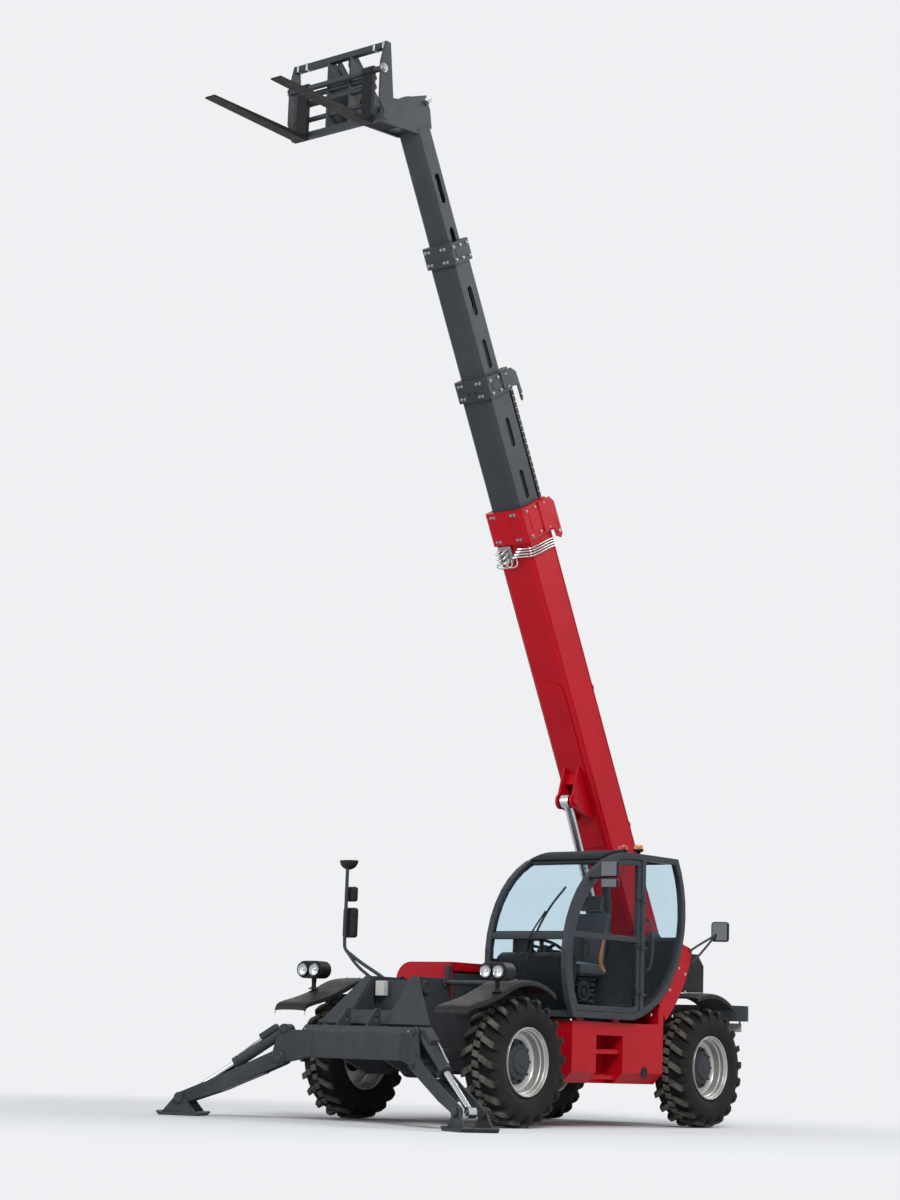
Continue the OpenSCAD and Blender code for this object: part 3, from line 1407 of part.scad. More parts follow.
in_frame() at_rear_axle() wheel_station(true) tyre();  // tyre_rr
in_frame() boom_base();
in_frame() boom_section(1);  // boom_section_2
in_frame() boom_section(2);  // boom_section_3
in_frame() boom_section(3);  // boom_section_4
in_frame() drag_chain();
in_frame() lift_barrel();
in_frame() lift_rod();
in_frame() tilt_barrel();
in_frame() tilt_rod();
in_frame() fork_carriage();
in_frame() forks();
in_frame() stabiliser_arm(false);  // stabiliser_arm_left
in_frame() stabiliser_arm(true);  // stabiliser_arm_right
in_frame() stabiliser_foot(false);  // stabiliser_foot_left
in_frame() stabiliser_foot(true);  // stabiliser_foot_right
in_frame() stabiliser_barrel(false);  // stabiliser_barrel_left
in_frame() stabiliser_barrel(true);  // stabiliser_barrel_right
in_frame() stabiliser_rod(false);  // stabiliser_rod_left
in_frame() stabiliser_rod(true);  // stabiliser_rod_right
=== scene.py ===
import json
import math

import bpy
from mathutils import Matrix, Vector


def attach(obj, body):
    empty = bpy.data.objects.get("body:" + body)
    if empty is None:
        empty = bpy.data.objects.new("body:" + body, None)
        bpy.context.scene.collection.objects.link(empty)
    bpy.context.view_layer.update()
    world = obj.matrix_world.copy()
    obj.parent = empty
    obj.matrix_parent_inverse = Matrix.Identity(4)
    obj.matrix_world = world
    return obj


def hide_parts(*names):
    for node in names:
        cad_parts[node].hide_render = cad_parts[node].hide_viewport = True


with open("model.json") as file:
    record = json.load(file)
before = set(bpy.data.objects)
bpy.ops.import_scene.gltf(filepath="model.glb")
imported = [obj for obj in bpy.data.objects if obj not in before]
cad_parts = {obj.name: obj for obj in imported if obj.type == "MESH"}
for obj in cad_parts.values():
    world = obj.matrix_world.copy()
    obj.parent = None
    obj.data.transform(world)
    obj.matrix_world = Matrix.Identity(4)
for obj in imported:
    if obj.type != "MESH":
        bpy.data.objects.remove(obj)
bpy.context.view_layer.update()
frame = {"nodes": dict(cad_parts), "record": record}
nodes = frame["nodes"]

# Camera at the photograph's standpoint, low in front of the machine's left side
CAMERA_PLACE = (19.992, 15.648, 0.682)
CAMERA_RIGHT = (-0.6217, 0.7826, 0.0342)
CAMERA_FORWARD = (-0.7669, -0.6169, 0.1772)
CAMERA_LENS = 75.33
CAMERA_SENSOR = 36
CAMERA_CLIP = 500

# Pale floor that fades into the backdrop, and soft studio light
BACKDROP = (0.86, 0.87, 0.89, 1)
SKY = (0.8, 0.84, 0.9, 1)
SKY_STRENGTH = 0.42
FLOOR_GREY = (0.66, 0.67, 0.68, 1)
FLOOR_R = 150
FLOOR_Z = -0.002
FADE_START = 3.6
FADE_END = 10.0
# Each area light's name, place, aim, size and power
LIGHTS = (
    ("key", (14, 16, 17), (0.5, 0, 3), 8, 4600),
    ("fill", (16, -12, 8), (0.5, 0, 3), 10, 1100),
    ("back", (-15, 4, 15), (0, 0, 4), 9, 2200),
)


def place_camera():
    right = Vector(CAMERA_RIGHT).normalized()
    forward = Vector(CAMERA_FORWARD).normalized()
    turn = Matrix((right, right.cross(forward), -forward)).transposed()
    optics = bpy.data.cameras.new("camera")
    optics.sensor_width = CAMERA_SENSOR
    optics.lens = CAMERA_LENS
    optics.clip_end = CAMERA_CLIP
    camera = bpy.data.objects.new("camera", optics)
    bpy.context.scene.collection.objects.link(camera)
    camera.matrix_world = Matrix.Translation(CAMERA_PLACE) @ turn.to_4x4()
    bpy.context.scene.camera = camera


# Node trees
def feed(tree, node, inputs):
    """Sets a node's inputs, by name or number, to values or to other nodes' outputs."""
    for key, value in inputs.items():
        if isinstance(value, bpy.types.NodeSocket):
            tree.links.new(value, node.inputs[key])
        else:
            node.inputs[key].default_value = value


def add_node(tree, kind, inputs=None, **settings):
    node = tree.nodes.new("ShaderNode" + kind)
    for name, value in settings.items():
        setattr(node, name, value)
    feed(tree, node, inputs or {})
    return node


def seen_plainly(tree):
    """One for what the camera sees straight, in a reflection or through glass."""
    path = add_node(tree, "LightPath")
    seen = path.outputs["Is Camera Ray"]
    for ray in ("Is Glossy Ray", "Is Transmission Ray"):
        either = add_node(tree, "Math", {0: seen, 1: path.outputs[ray]}, operation="MAXIMUM")
        seen = either.outputs["Value"]
    return seen


class Finish:
    """A Principled material on object coordinates, with helpers for its node tree."""

    def __init__(self, name):
        self.material = bpy.data.materials.new(name)
        self.material.use_nodes = True
        self.tree = self.material.node_tree
        self.shader = self.tree.nodes["Principled BSDF"]
        self.place = self.add("TexCoord").outputs["Object"]

    def add(self, kind, inputs=None, **settings):
        return add_node(self.tree, kind, inputs, **settings)

    def set(self, **inputs):
        """Sets the shader's inputs, written as in base_color for Base Color."""
        feed(self.tree, self.shader, {
            name.replace("_", " ").title().replace("Ior", "IOR"): value
            for name, value in inputs.items()})

    def noise(self, scale, detail=4.0, rough=0.6):
        return self.add("TexNoise", {
            "Scale": scale, "Detail": detail, "Roughness": rough, "Vector": self.place,
        }).outputs["Fac"]

    def ramp(self, value, low, high, to_low=0.0, to_high=1.0, **settings):
        return self.add("MapRange", {
            "Value": value, "From Min": low, "From Max": high, "To Min": to_low, "To Max": to_high,
        }, **settings).outputs["Result"]

    def math(self, operation, a, b):
        return self.add("Math", {0: a, 1: b}, operation=operation).outputs["Value"]

    def mix(self, factor, a, b):
        """A blend of two colours, each an RGB tuple or another node's output."""
        a, b = ((*color, 1) if isinstance(color, tuple) else color for color in (a, b))
        return self.add("Mix", {"Factor": factor, 6: a, 7: b}, data_type="RGBA").outputs[2]

    def upward(self, vector):
        return self.add("SeparateXYZ", {"Vector": vector}).outputs["Z"]

    def normal(self):
        return self.add("NewGeometry").outputs["Normal"]

    def edge(self, radius):
        """Share of wear on sharp edges, and a rounded normal for them."""
        rounded = self.add("Bevel", {"Radius": radius}, samples=4).outputs["Normal"]
        agree = self.add("VectorMath", {0: rounded, 1: self.normal()}, operation="DOT_PRODUCT")
        return self.ramp(agree.outputs["Value"], 0.97, 0.8), rounded

    def bump(self, height, strength, distance, normal=None):
        inputs = {"Height": height, "Strength": strength, "Distance": distance}
        if normal is not None:
            inputs["Normal"] = normal
        self.set(normal=self.add("Bump", inputs).outputs["Normal"])


def pale_floor():
    """A matt floor that keeps the shadow near the machine and runs into the backdrop far away."""
    finish = Finish("floor_pale")
    finish.set(base_color=FLOOR_GREY, roughness=0.9, specular_ior_level=0.1)
    reach = finish.add("VectorMath", {0: finish.place}, operation="LENGTH").outputs["Value"]
    away = finish.ramp(reach, FADE_START, FADE_END, interpolation_type="SMOOTHSTEP")
    mix = finish.add("MixShader", {
        "Fac": finish.math("MULTIPLY", away, seen_plainly(finish.tree)),
        1: finish.shader.outputs["BSDF"],
        2: finish.add("Emission", {"Color": BACKDROP}).outputs["Emission"]})
    feed(finish.tree, finish.tree.nodes["Material Output"], {"Surface": mix.outputs["Shader"]})
    return finish.material


def light_studio():
    scene = bpy.context.scene
    bpy.ops.object.select_all(action="DESELECT")
    bpy.ops.mesh.primitive_circle_add(
        vertices=96, radius=FLOOR_R, fill_type="NGON", location=(0, 0, FLOOR_Z))
    floor = bpy.context.object
    floor.name = "floor"
    floor.data.materials.append(pale_floor())
    scene.view_settings.view_transform = "Standard"
    scene.world = bpy.data.worlds.new("studio")
    scene.world.use_nodes = True
    tree = scene.world.node_tree
    sky = tree.nodes["Background"]
    feed(tree, sky, {"Color": SKY, "Strength": SKY_STRENGTH})
    backdrop = add_node(tree, "Background", {"Color": BACKDROP})
    mix = add_node(tree, "MixShader", {
        "Fac": seen_plainly(tree), 1: sky.outputs["Background"], 2: backdrop.outputs["Background"]})
    feed(tree, tree.nodes["World Output"], {"Surface": mix.outputs["Shader"]})
    for name, place, aim, size, power in LIGHTS:
        light = bpy.data.lights.new(name, "AREA")
        light.size = size
        light.energy = power
        holder = bpy.data.objects.new(name, light)
        scene.collection.objects.link(holder)
        holder.location = place
        holder.rotation_mode = "QUATERNION"
        holder.rotation_quaternion = (Vector(aim) - Vector(place)).to_track_quat("-Z", "Y")


# Finishes
DUST = (0.3, 0.27, 0.22)


def paint(name, color, shade, rough, coat, chips=None, dust=0.1, sheen=0.0):
    """Sprayed paint with a faint mottle, dust on ledges and low down, and worn edges."""
    finish = Finish(name)
    tone = finish.mix(finish.ramp(finish.noise(1.7), 0.3, 0.7), color, shade)
    grime = finish.ramp(finish.noise(5.0, 8.0, 0.7), 0.42, 0.75)
    low = finish.ramp(finish.upward(finish.place), 1.3, 0.2, 0.0, dust)
    ledge = finish.ramp(finish.upward(finish.normal()), 0.55, 1.0, 0.0, dust)
    dusty = finish.math("MULTIPLY", grime, finish.math("MAXIMUM", low, ledge))
    tone = finish.mix(dusty, tone, DUST)
    wear, rounded = finish.edge(0.006)
    if chips is not None:
        flakes = finish.ramp(finish.noise(22.0, 6.0, 0.7), 0.56, 0.66)
        tone = finish.mix(finish.math("MULTIPLY", wear, flakes), tone, chips)
    finish.bump(finish.noise(420.0, 2.0), 0.06, 0.002, rounded)
    finish.set(
        base_color=tone, metallic=sheen, coat_weight=coat, coat_roughness=0.12,
        specular_ior_level=0.12,
        roughness=finish.ramp(finish.noise(9.0, 6.0), 0.3, 0.75, rough - 0.06, rough + 0.16))
    return finish.material


def plastic(name, color, shade, rough):
    """Moulded plastic with a fine grain and dust on ledges."""
    finish = Finish(name)
    tone = finish.mix(finish.ramp(finish.noise(2.5), 0.3, 0.7), color, shade)
    ledge = finish.ramp(finish.upward(finish.normal()), 0.6, 1.0, 0.0, 0.08)
    grime = finish.ramp(finish.noise(6.0, 8.0), 0.4, 0.7)
    finish.bump(finish.noise(650.0, 2.0), 0.07, 0.001, finish.edge(0.005)[1])
    tone = finish.mix(finish.math("MULTIPLY", ledge, grime), tone, DUST)
    finish.set(
        base_color=tone, specular_ior_level=0.16,
        roughness=finish.ramp(finish.noise(14.0), 0.3, 0.7, rough - 0.06, rough + 0.1))
    return finish.material


def metal(name, color, shade, rough):
    """Bare metal with fine mottling."""
    finish = Finish(name)
    tone = finish.mix(finish.ramp(finish.noise(40.0, 6.0), 0.3, 0.7), color, shade)
    finish.bump(finish.noise(480.0, 2.0), 0.05, 0.001, finish.edge(0.003)[1])
    finish.set(
        base_color=tone, metallic=1.0,
        roughness=finish.ramp(finish.noise(80.0, 6.0), 0.3, 0.7, rough, rough + 0.12))
    return finish.material


def clear_glass(name, tint):
    """Thin glass with a film of dust."""
    finish = Finish(name)
    film = finish.ramp(finish.noise(3.0, 8.0, 0.7), 0.45, 0.95, 0.0, 0.25)
    finish.bump(finish.noise(2.0, 1.0), 0.01, 0.002)
    finish.set(
        base_color=finish.mix(film, tint, (0.62, 0.7, 0.74)), transmission_weight=1.0, ior=1.05,
        specular_ior_level=0.9, roughness=finish.ramp(film, 0.0, 1.0, 0.0, 0.02))
    return finish.material


def lens(name, color):
    """Moulded lamp lens with an uneven face."""
    finish = Finish(name)
    shade = tuple(0.8 * c for c in color)
    finish.bump(finish.noise(140.0, 1.0), 0.25, 0.002)
    finish.set(
        base_color=finish.mix(finish.ramp(finish.noise(60.0), 0.35, 0.65), color, shade),
        transmission_weight=0.25, coat_weight=0.5,
        roughness=finish.ramp(finish.noise(20.0), 0.3, 0.7, 0.12, 0.2))
    return finish.material


def tyre_rubber():
    """Black rubber, dusty on the tread; the mesh's reach says how far out a point lies."""
    finish = Finish("tyre_rubber")
    reach = finish.add("Attribute", attribute_name="reach").outputs["Fac"]
    dirt = finish.ramp(finish.noise(7.0, 8.0, 0.7), 0.3, 0.7)
    tread = finish.ramp(reach, 0.93, 1.0, 0.02, 0.9)
    mottle = finish.ramp(finish.noise(3.0), 0.3, 0.7)
    tone = finish.mix(mottle, (0.01, 0.01, 0.01), (0.019, 0.018, 0.017))
    finish.bump(finish.noise(120.0, 6.0, 0.7), 0.35, 0.004)
    finish.set(
        base_color=finish.mix(finish.math("MULTIPLY", dirt, tread), tone, (0.23, 0.22, 0.19)),
        roughness=finish.ramp(dirt, 0.0, 1.0, 0.62, 0.92), specular_ior_level=0.12)
    return finish.material


def woven_fabric(name, color, shade):
    """Cloth or webbing: two crossing waves of thread."""
    finish = Finish(name)
    across, along = (
        finish.add("TexWave", {"Scale": 130.0, "Vector": finish.place}, bands_direction=axis)
        for axis in ("X", "Z"))
    weave = finish.math("MULTIPLY", across.outputs["Fac"], along.outputs["Fac"])
    finish.bump(weave, 0.5, 0.002)
    finish.set(
        base_color=finish.mix(weave, color, shade), sheen_weight=0.3,
        roughness=finish.ramp(weave, 0.0, 1.0, 0.95, 0.75))
    return finish.material


CHARCOAL = paint("charcoal_paint", (0.041, 0.048, 0.055), (0.033, 0.038, 0.044), 0.42, 0.04,
                 (0.16, 0.15, 0.14))
RED = paint("red_paint", (0.46, 0.002, 0.012), (0.39, 0.002, 0.009), 0.32, 0.08, (0.2, 0.05, 0.04),
            dust=0.02)
SILVER = paint("rim_silver", (0.55, 0.55, 0.53), (0.46, 0.46, 0.44), 0.3, 0.1, (0.25, 0.22, 0.19),
               dust=0.16, sheen=0.65)
FORK = paint("fork_steel", (0.01, 0.01, 0.011), (0.015, 0.014, 0.014), 0.42, 0.0, (0.12, 0.11, 0.1),
             dust=0.02)
CAST = paint("cast_block", (0.1, 0.1, 0.1), (0.07, 0.07, 0.07), 0.6, 0.0)
PALE = paint("pale_grey", (0.52, 0.52, 0.5), (0.46, 0.46, 0.44), 0.45, 0.0, dust=0.05)
BLACK = plastic("black_plastic", (0.01, 0.01, 0.011), (0.015, 0.015, 0.016), 0.45)
CHROME = metal("chrome_rod", (0.58, 0.59, 0.61), (0.5, 0.51, 0.53), 0.12)
STEEL = metal("bright_steel", (0.56, 0.56, 0.55), (0.44, 0.44, 0.43), 0.26)
DULL = metal("dull_steel", (0.36, 0.36, 0.36), (0.27, 0.27, 0.27), 0.32)
MIRROR = metal("mirror_glass", (0.2, 0.21, 0.23), (0.17, 0.18, 0.2), 0.05)
GLASS = clear_glass("clear_glass", (0.78, 0.88, 0.93))
CLEAR_LENS = clear_glass("lamp_clear", (0.9, 0.92, 0.93))
AMBER = lens("amber_lens", (0.85, 0.3, 0.02))
RED_LENS = lens("red_lens", (0.6, 0.01, 0.01))
TYRE = tyre_rubber()
FABRIC = woven_fabric("seat_fabric", (0.02, 0.02, 0.023), (0.045, 0.045, 0.05))
ORANGE = woven_fabric("belt_webbing", (0.55, 0.16, 0.03), (0.42, 0.11, 0.02))

SLOT_FINISH = {
    "charcoal_paint": CHARCOAL, "red_paint": RED, "black_plastic": BLACK, "tyre_rubber": TYRE,
    "rim_silver": SILVER, "clear_glass": GLASS, "chrome_rod": CHROME, "seat_fabric": FABRIC,
    "cast_block": CAST, "fork_steel": FORK, "lamp_clear": CLEAR_LENS,
}


# Every carried-over solid takes the finish of its slot
def dress_solids():
    for part in frame["record"]["subparts"]:
        solid = nodes[part["node"]]
        solid.data.materials.clear()
        solid.data.materials.append(SLOT_FINISH[part["material_slot"]])


# Frames: the machine's zero lies on the floor under the rear axle, the boom's at its pivot with X
# along the boom, and the tip's at the carriage's pin
REAR_AXLE_X = -2.607018
WHEELBASE = 3.19
WHEEL_Y = 1.005
BOOM_Y = -0.11
BOOM_PIVOT = (-0.41, BOOM_Y, 1.927)
BOOM_TILT = 62
CARRIAGE_PIN = (4.554035, BOOM_Y, 9.899757)
SIDES = (("left", 1), ("right", -1))


def turned(frame_in, place, degrees, axis="Y"):
    """A frame at a place in another one, turned about an axis."""
    return frame_in @ Matrix.Translation(place) @ Matrix.Rotation(math.radians(degrees), 4, axis)


def aimed(place, direction, axis="Z", up="Y"):
    """A frame at a place with one axis along a direction."""
    return Matrix.LocRotScale(Vector(place), Vector(direction).to_track_quat(axis, up), None)


MACHINE = Matrix.Translation((REAR_AXLE_X, 0, 0))
BOOM = turned(MACHINE, BOOM_PIVOT, -BOOM_TILT)
TIP = MACHINE @ Matrix.Translation(CARRIAGE_PIN)


# Modelling
def begin(*pieces):
    """Object mode with only the given pieces picked, the first of them active."""
    if bpy.context.mode != "OBJECT":
        bpy.ops.object.mode_set(mode="OBJECT")
    bpy.ops.object.select_all(action="DESELECT")
    for piece in pieces:
        piece.select_set(True)
    if pieces:
        bpy.context.view_layer.objects.active = pieces[0]


def edit():
    bpy.ops.object.mode_set(mode="EDIT")
    bpy.ops.mesh.select_all(action="SELECT")


def leave():
    bpy.ops.object.mode_set(mode="OBJECT")


def face_out():
    """Turns every face outward and leaves edit mode."""
    bpy.ops.mesh.select_all(action="SELECT")
    bpy.ops.mesh.normals_make_consistent(inside=False)
    leave()


def mirror_across():
    """Mirrors the active object's mesh across Y, and stays in edit mode."""
    edit()
    bpy.ops.transform.mirror(constraint_axis=(False, True, False), center_override=(0, 0, 0))


def settle():
    """Puts the active object's place, turn and scale into its mesh."""
    bpy.ops.object.transform_apply(location=True, rotation=True, scale=True)


def set_in(matrix):
    """Settles the active object in a frame."""
    piece = bpy.context.object
    piece.matrix_world = matrix @ piece.matrix_world
    settle()
    return piece


def modify(kind, **settings):
    """Applies a modifier to the active object."""
    modifier = bpy.context.object.modifiers.new(kind.lower(), kind)
    for name, value in settings.items():
        setattr(modifier, name, value)
    bpy.ops.object.modifier_apply(modifier=modifier.name)


def soften(width, segments=2, angle=30):
    modify("BEVEL", width=width, segments=segments,
           limit_method="ANGLE", angle_limit=math.radians(angle))


def done(name, finish, body="chassis", smooth=35):
    """Names and finishes the active object, and hangs it on its body."""
    piece = bpy.context.object
    piece.name = piece.data.name = name
    settle()
    bpy.ops.object.shade_smooth_by_angle(angle=math.radians(smooth))
    modify("WEIGHTED_NORMAL", keep_sharp=True)
    piece.data.materials.clear()
    piece.data.materials.append(finish)
    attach(piece, body)
    return piece


def join(pieces):
    begin(*pieces)
    bpy.ops.object.join()
    return bpy.context.object


def copy_of(piece):
    begin(piece)
    bpy.ops.object.duplicate()
    return bpy.context.object


def cube(low, high):
    """A plain box, left picked in edit mode."""
    begin()
    low, high = Vector(low), Vector(high)
    bpy.ops.mesh.primitive_cube_add(size=1, location=(low + high) / 2, scale=high - low)
    settle()
    edit()


def block(low, high, round_by=0.006, frame_in=MACHINE, segments=2):
    """A box with rounded edges."""
    cube(low, high)
    bpy.ops.mesh.bevel(offset=round_by, segments=segments, affect="EDGES")
    leave()
    return set_in(frame_in)


def bar(start, end, radius, frame_in=MACHINE, sides=20, round_by=0.003, tip=None):
    """A round bar with eased ends, tapering to tip where that is given."""
    begin()
    start, end = Vector(start), Vector(end)
    along = end - start
    bpy.ops.mesh.primitive_cone_add(
        vertices=sides, radius1=radius, radius2=tip or radius, depth=along.length)
    bpy.context.object.matrix_world = aimed((start + end) / 2, along)
    settle()
    soften(min(round_by, radius * 0.3), 2, 50)
    return set_in(frame_in)


def trace(points):
    """A chain of edges through points, extruded from one vertex and left picked in edit mode."""
    begin()
    bpy.ops.mesh.primitive_plane_add(size=0.01)
    edit()
    bpy.ops.mesh.merge(type="CENTER")
    bpy.ops.transform.translate(value=points[0])
    for before, after in zip(points, points[1:]):
        bpy.ops.mesh.extrude_vertices_move(
            TRANSFORM_OT_translate={"value": Vector(after) - Vector(before)})
    bpy.ops.mesh.select_all(action="SELECT")


# As near to its axis as the profile of a closed shape of revolution comes
AXIS = 0.0005


def spun(profile, steps=64):
    """A shape of revolution about Y from (radius, y) points."""
    trace([(0, y, r) for r, y in profile])
    bpy.ops.mesh.spin(steps=steps, angle=math.tau, center=(0, 0, 0), axis=(0, 1, 0))
    bpy.ops.mesh.select_all(action="SELECT")
    bpy.ops.mesh.remove_doubles(threshold=0.0002)
    face_out()
    return bpy.context.object


def spun_at(profile, place, direction, steps=40, frame_in=MACHINE):
    """A shape of revolution set at a place, its Y axis along a direction."""
    piece = spun(profile, steps)
    piece.matrix_world = aimed(place, direction, "Y", "Z")
    settle()
    return set_in(frame_in)


def plate(outline, y_from, y_to, round_by=0.004, frame_in=MACHINE):
    """A plate cut to an outline of (x, z) points, between two places along Y."""
    trace([(x, y_from, z) for x, z in outline])
    bpy.ops.mesh.edge_face_add()
    bpy.ops.mesh.extrude_region_move(TRANSFORM_OT_translate={"value": (0, y_to - y_from, 0)})
    face_out()
    soften(round_by)
    return set_in(frame_in)


def pipe(points, radius, frame_in=MACHINE, sides=3):
    """A bent pipe or a fixed hose along a smooth line."""
    begin()
    bpy.ops.curve.primitive_bezier_curve_add()
    line = bpy.context.object.data
    spline = line.splines[0]
    spline.bezier_points.add(len(points) - 2)
    for point, place in zip(spline.bezier_points, points):
        point.co = place
        point.handle_left_type = point.handle_right_type = "AUTO"
    line.bevel_depth = radius
    line.bevel_resolution = sides
    line.resolution_u = 10
    line.use_fill_caps = True
    bpy.ops.object.convert(target="MESH")
    return set_in(frame_in)


def cylinder(sides, radius, depth, z):
    """A cylinder about Z with its middle at a height."""
    bpy.ops.mesh.primitive_cylinder_add(
        vertices=sides, radius=radius, depth=depth, location=(0, 0, z))
    settle()
    return bpy.context.object


def bolts(name, places, body="chassis", radius=0.011, height=0.008, finish=DULL):
    """Hexagon bolt heads on washers, at (place, direction) pairs in the row frame."""
    begin()
    head = cylinder(6, radius, height, height / 2)
    soften(height * 0.15, 1)
    head = join([head, cylinder(16, radius * 1.35, height * 0.4, height * 0.1)])
    heads = []
    for place, direction in places:
        heads.append(copy_of(head))
        heads[-1].matrix_world = aimed(place, direction)
        settle()
    bpy.data.objects.remove(head)
    join(heads)
    done(name, finish, body)


# Tyres: a spun carcass with curved shoulder lugs and slanted centre blocks
TYRE_R = 0.615
LUG_COUNT = 20
LUG_EASE = 0.006
SIDEWALL_RINGS = ((0.368, 0.176), (0.412, 0.193))
# Studs and cover bolts: count, share of a step turned, circle, foot, head, radius and eased edge
STUDS = (
    (10, 0.0, 0.192, 0.03, 0.058, 0.015, 0.003),
    (12, 0.5, 0.138, 0.07, 0.083, 0.009, 0.002),
)


def ring_of(piece, count):
    """Copies a piece round the wheel's axle."""
    begin(piece)
    turn = bpy.data.objects.new("turn", None)
    bpy.context.scene.collection.objects.link(turn)
    turn.rotation_euler = (0, math.tau / count, 0)
    bpy.context.view_layer.update()
    modify("ARRAY", count=count, use_relative_offset=False,
           use_object_offset=True, offset_object=turn)
    bpy.data.objects.remove(turn)


def swept(width, path, round_by):
    """A lug of one width, drawn out along (x, y, low, high) steps."""
    begin()
    x, y, low, high = path[0]
    bpy.ops.mesh.primitive_plane_add(size=1, rotation=(-math.pi / 2, 0, 0))
    settle()
    edit()
    bpy.ops.transform.resize(value=(width, 1, high - low))
    bpy.ops.transform.translate(value=(x, y, (low + high) / 2))
    for before, after in zip(path, path[1:]):
        step = Vector(after) - Vector(before)
        bpy.ops.mesh.extrude_region_move(
            TRANSFORM_OT_translate={"value": (step[0], step[1], (step[2] + step[3]) / 2)})
        bpy.ops.transform.resize(value=(1, 1, (after[3] - after[2]) / (before[3] - before[2])))
    face_out()
    soften(round_by, 2, 35)
    return bpy.context.object


def model_tyre():
    half = [(0.314, 0.15), (0.338, 0.157), (0.35, 0.166), (0.385, 0.188), (0.44, 0.199),
            (0.49, 0.196), (0.526, 0.184), (0.549, 0.16), (0.562, 0.11), (0.569, 0.05)]
    other_half = [(r, -y) for r, y in half]
    carcass = spun([*other_half, (0.571, 0.0), *half[::-1], other_half[0]], 80)
    shoulder = swept(0.062, [
        (-0.03, 0.042, 0.545, 0.611), (-0.012, 0.085, 0.545, 0.611), (0.012, 0.125, 0.54, 0.61),
        (0.03, 0.158, 0.525, 0.606), (0.04, 0.182, 0.505, 0.592), (0.044, 0.199, 0.47, 0.545),
    ], LUG_EASE)
    ring_of(shoulder, LUG_COUNT)
    other = copy_of(shoulder)
    mirror_across()
    face_out()
    other.rotation_euler = (0, math.pi / LUG_COUNT, 0)
    settle()
    centre = swept(0.06, [(-0.026, -0.034, 0.545, 0.611), (-0.006, 0.034, 0.545, 0.611)], LUG_EASE)
    centre.rotation_euler = (0, math.pi / LUG_COUNT * 0.5, 0)
    settle()
    ring_of(centre, LUG_COUNT)
    second = copy_of(centre)
    second.rotation_euler = (0, math.pi / LUG_COUNT, 0)
    settle()
    # Moulded rings round the sidewalls
    rings = [spun([(r, y), (r + 0.004, y + 0.004), (r + 0.012, y + 0.004), (r + 0.016, y)], 80)
             for r, y in SIDEWALL_RINGS]
    for ring in list(rings):
        twin = copy_of(ring)
        mirror_across()
        face_out()
        rings.append(twin)
    tyre = join([carcass, shoulder, other, centre, second, *rings])
    reach = tyre.data.attributes.new("reach", "FLOAT", "POINT")
    reach.data.foreach_set(
        "value", [math.hypot(v.co.x, v.co.z) / TYRE_R for v in tyre.data.vertices])
    return tyre


def model_rim():
    """A deep-dished rim with a stepped barrel, rolled lips and a flat disc."""
    return spun([
        (0.327, 0.17), (0.326, 0.177), (0.319, 0.178), (0.315, 0.17), (0.309, 0.15), (0.3, 0.146),
        (0.297, 0.108), (0.288, 0.1), (0.285, 0.04), (0.277, 0.026), (0.262, 0.018), (0.235, 0.012),
        (0.15, 0.012), (0.15, -0.006), (0.27, -0.006), (0.29, -0.02), (0.296, -0.11),
        (0.306, -0.15), (0.319, -0.178), (0.326, -0.177), (0.327, -0.156), (0.3135, -0.149),
        (0.3135, 0.149), (0.327, 0.156), (0.327, 0.17)], 72)


def model_hub():
    """The hub's dark drum with a stepped planet cover."""
    return spun([
        (0.215, 0.01), (0.215, 0.026), (0.205, 0.034), (0.178, 0.036), (0.17, 0.06), (0.16, 0.072),
        (0.118, 0.078), (0.112, 0.096), (0.1, 0.104), (0.052, 0.106), (0.048, 0.114),
        (AXIS, 0.116)], 48)


def fit_wheels():
    tyre, rim, hub = model_tyre(), model_rim(), model_hub()
    studs = []
    for count, shift, circle, foot, head, radius, ease in STUDS:
        for k in range(count):
            turn = math.tau * (k + shift) / count
            x, z = circle * math.cos(turn), circle * math.sin(turn)
            studs.append(bar((x, foot, z), (x, head, z), radius, Matrix(), 6, ease))
    studs = join(studs)
    for corner, x, side in (
        ("fl", WHEELBASE, 1), ("fr", WHEELBASE, -1), ("rl", 0, 1), ("rr", 0, -1),
    ):
        for model, kind, finish in (
            (tyre, "tyre", TYRE), (rim, "rim", SILVER), (hub, "hub", CHARCOAL),
            (studs, "wheel_studs", CHARCOAL),
        ):
            piece = copy_of(model)
            if side < 0:
                mirror_across()
                bpy.ops.mesh.flip_normals()
                leave()
            piece.location = (x + REAR_AXLE_X, WHEEL_Y * side, TYRE_R)
            done("%s_%s_look" % (kind, corner), finish, "wheel_" + corner)
            if kind in ("tyre", "rim"):
                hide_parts("%s_%s" % (kind, corner))
    for model in (tyre, rim, hub, studs):
        bpy.data.objects.remove(model)


# Lamps: headlamp pods with two round lamps each, and two beacons on stems
LAMP_X, LAMP_Y, LAMP_Z = 3.665, 1.15, 1.446
LAMP_FACE_X = 3.749
LAMP_APART = 0.076
LAMP_SIZE = 0.064
POD_REACH = 0.075
POD_R = 0.086
FENDER_TOP_Z = 1.252
BEACON_X = 0.89
ROOF_Z = 2.719
BUMPER_BACK_X = -1.11


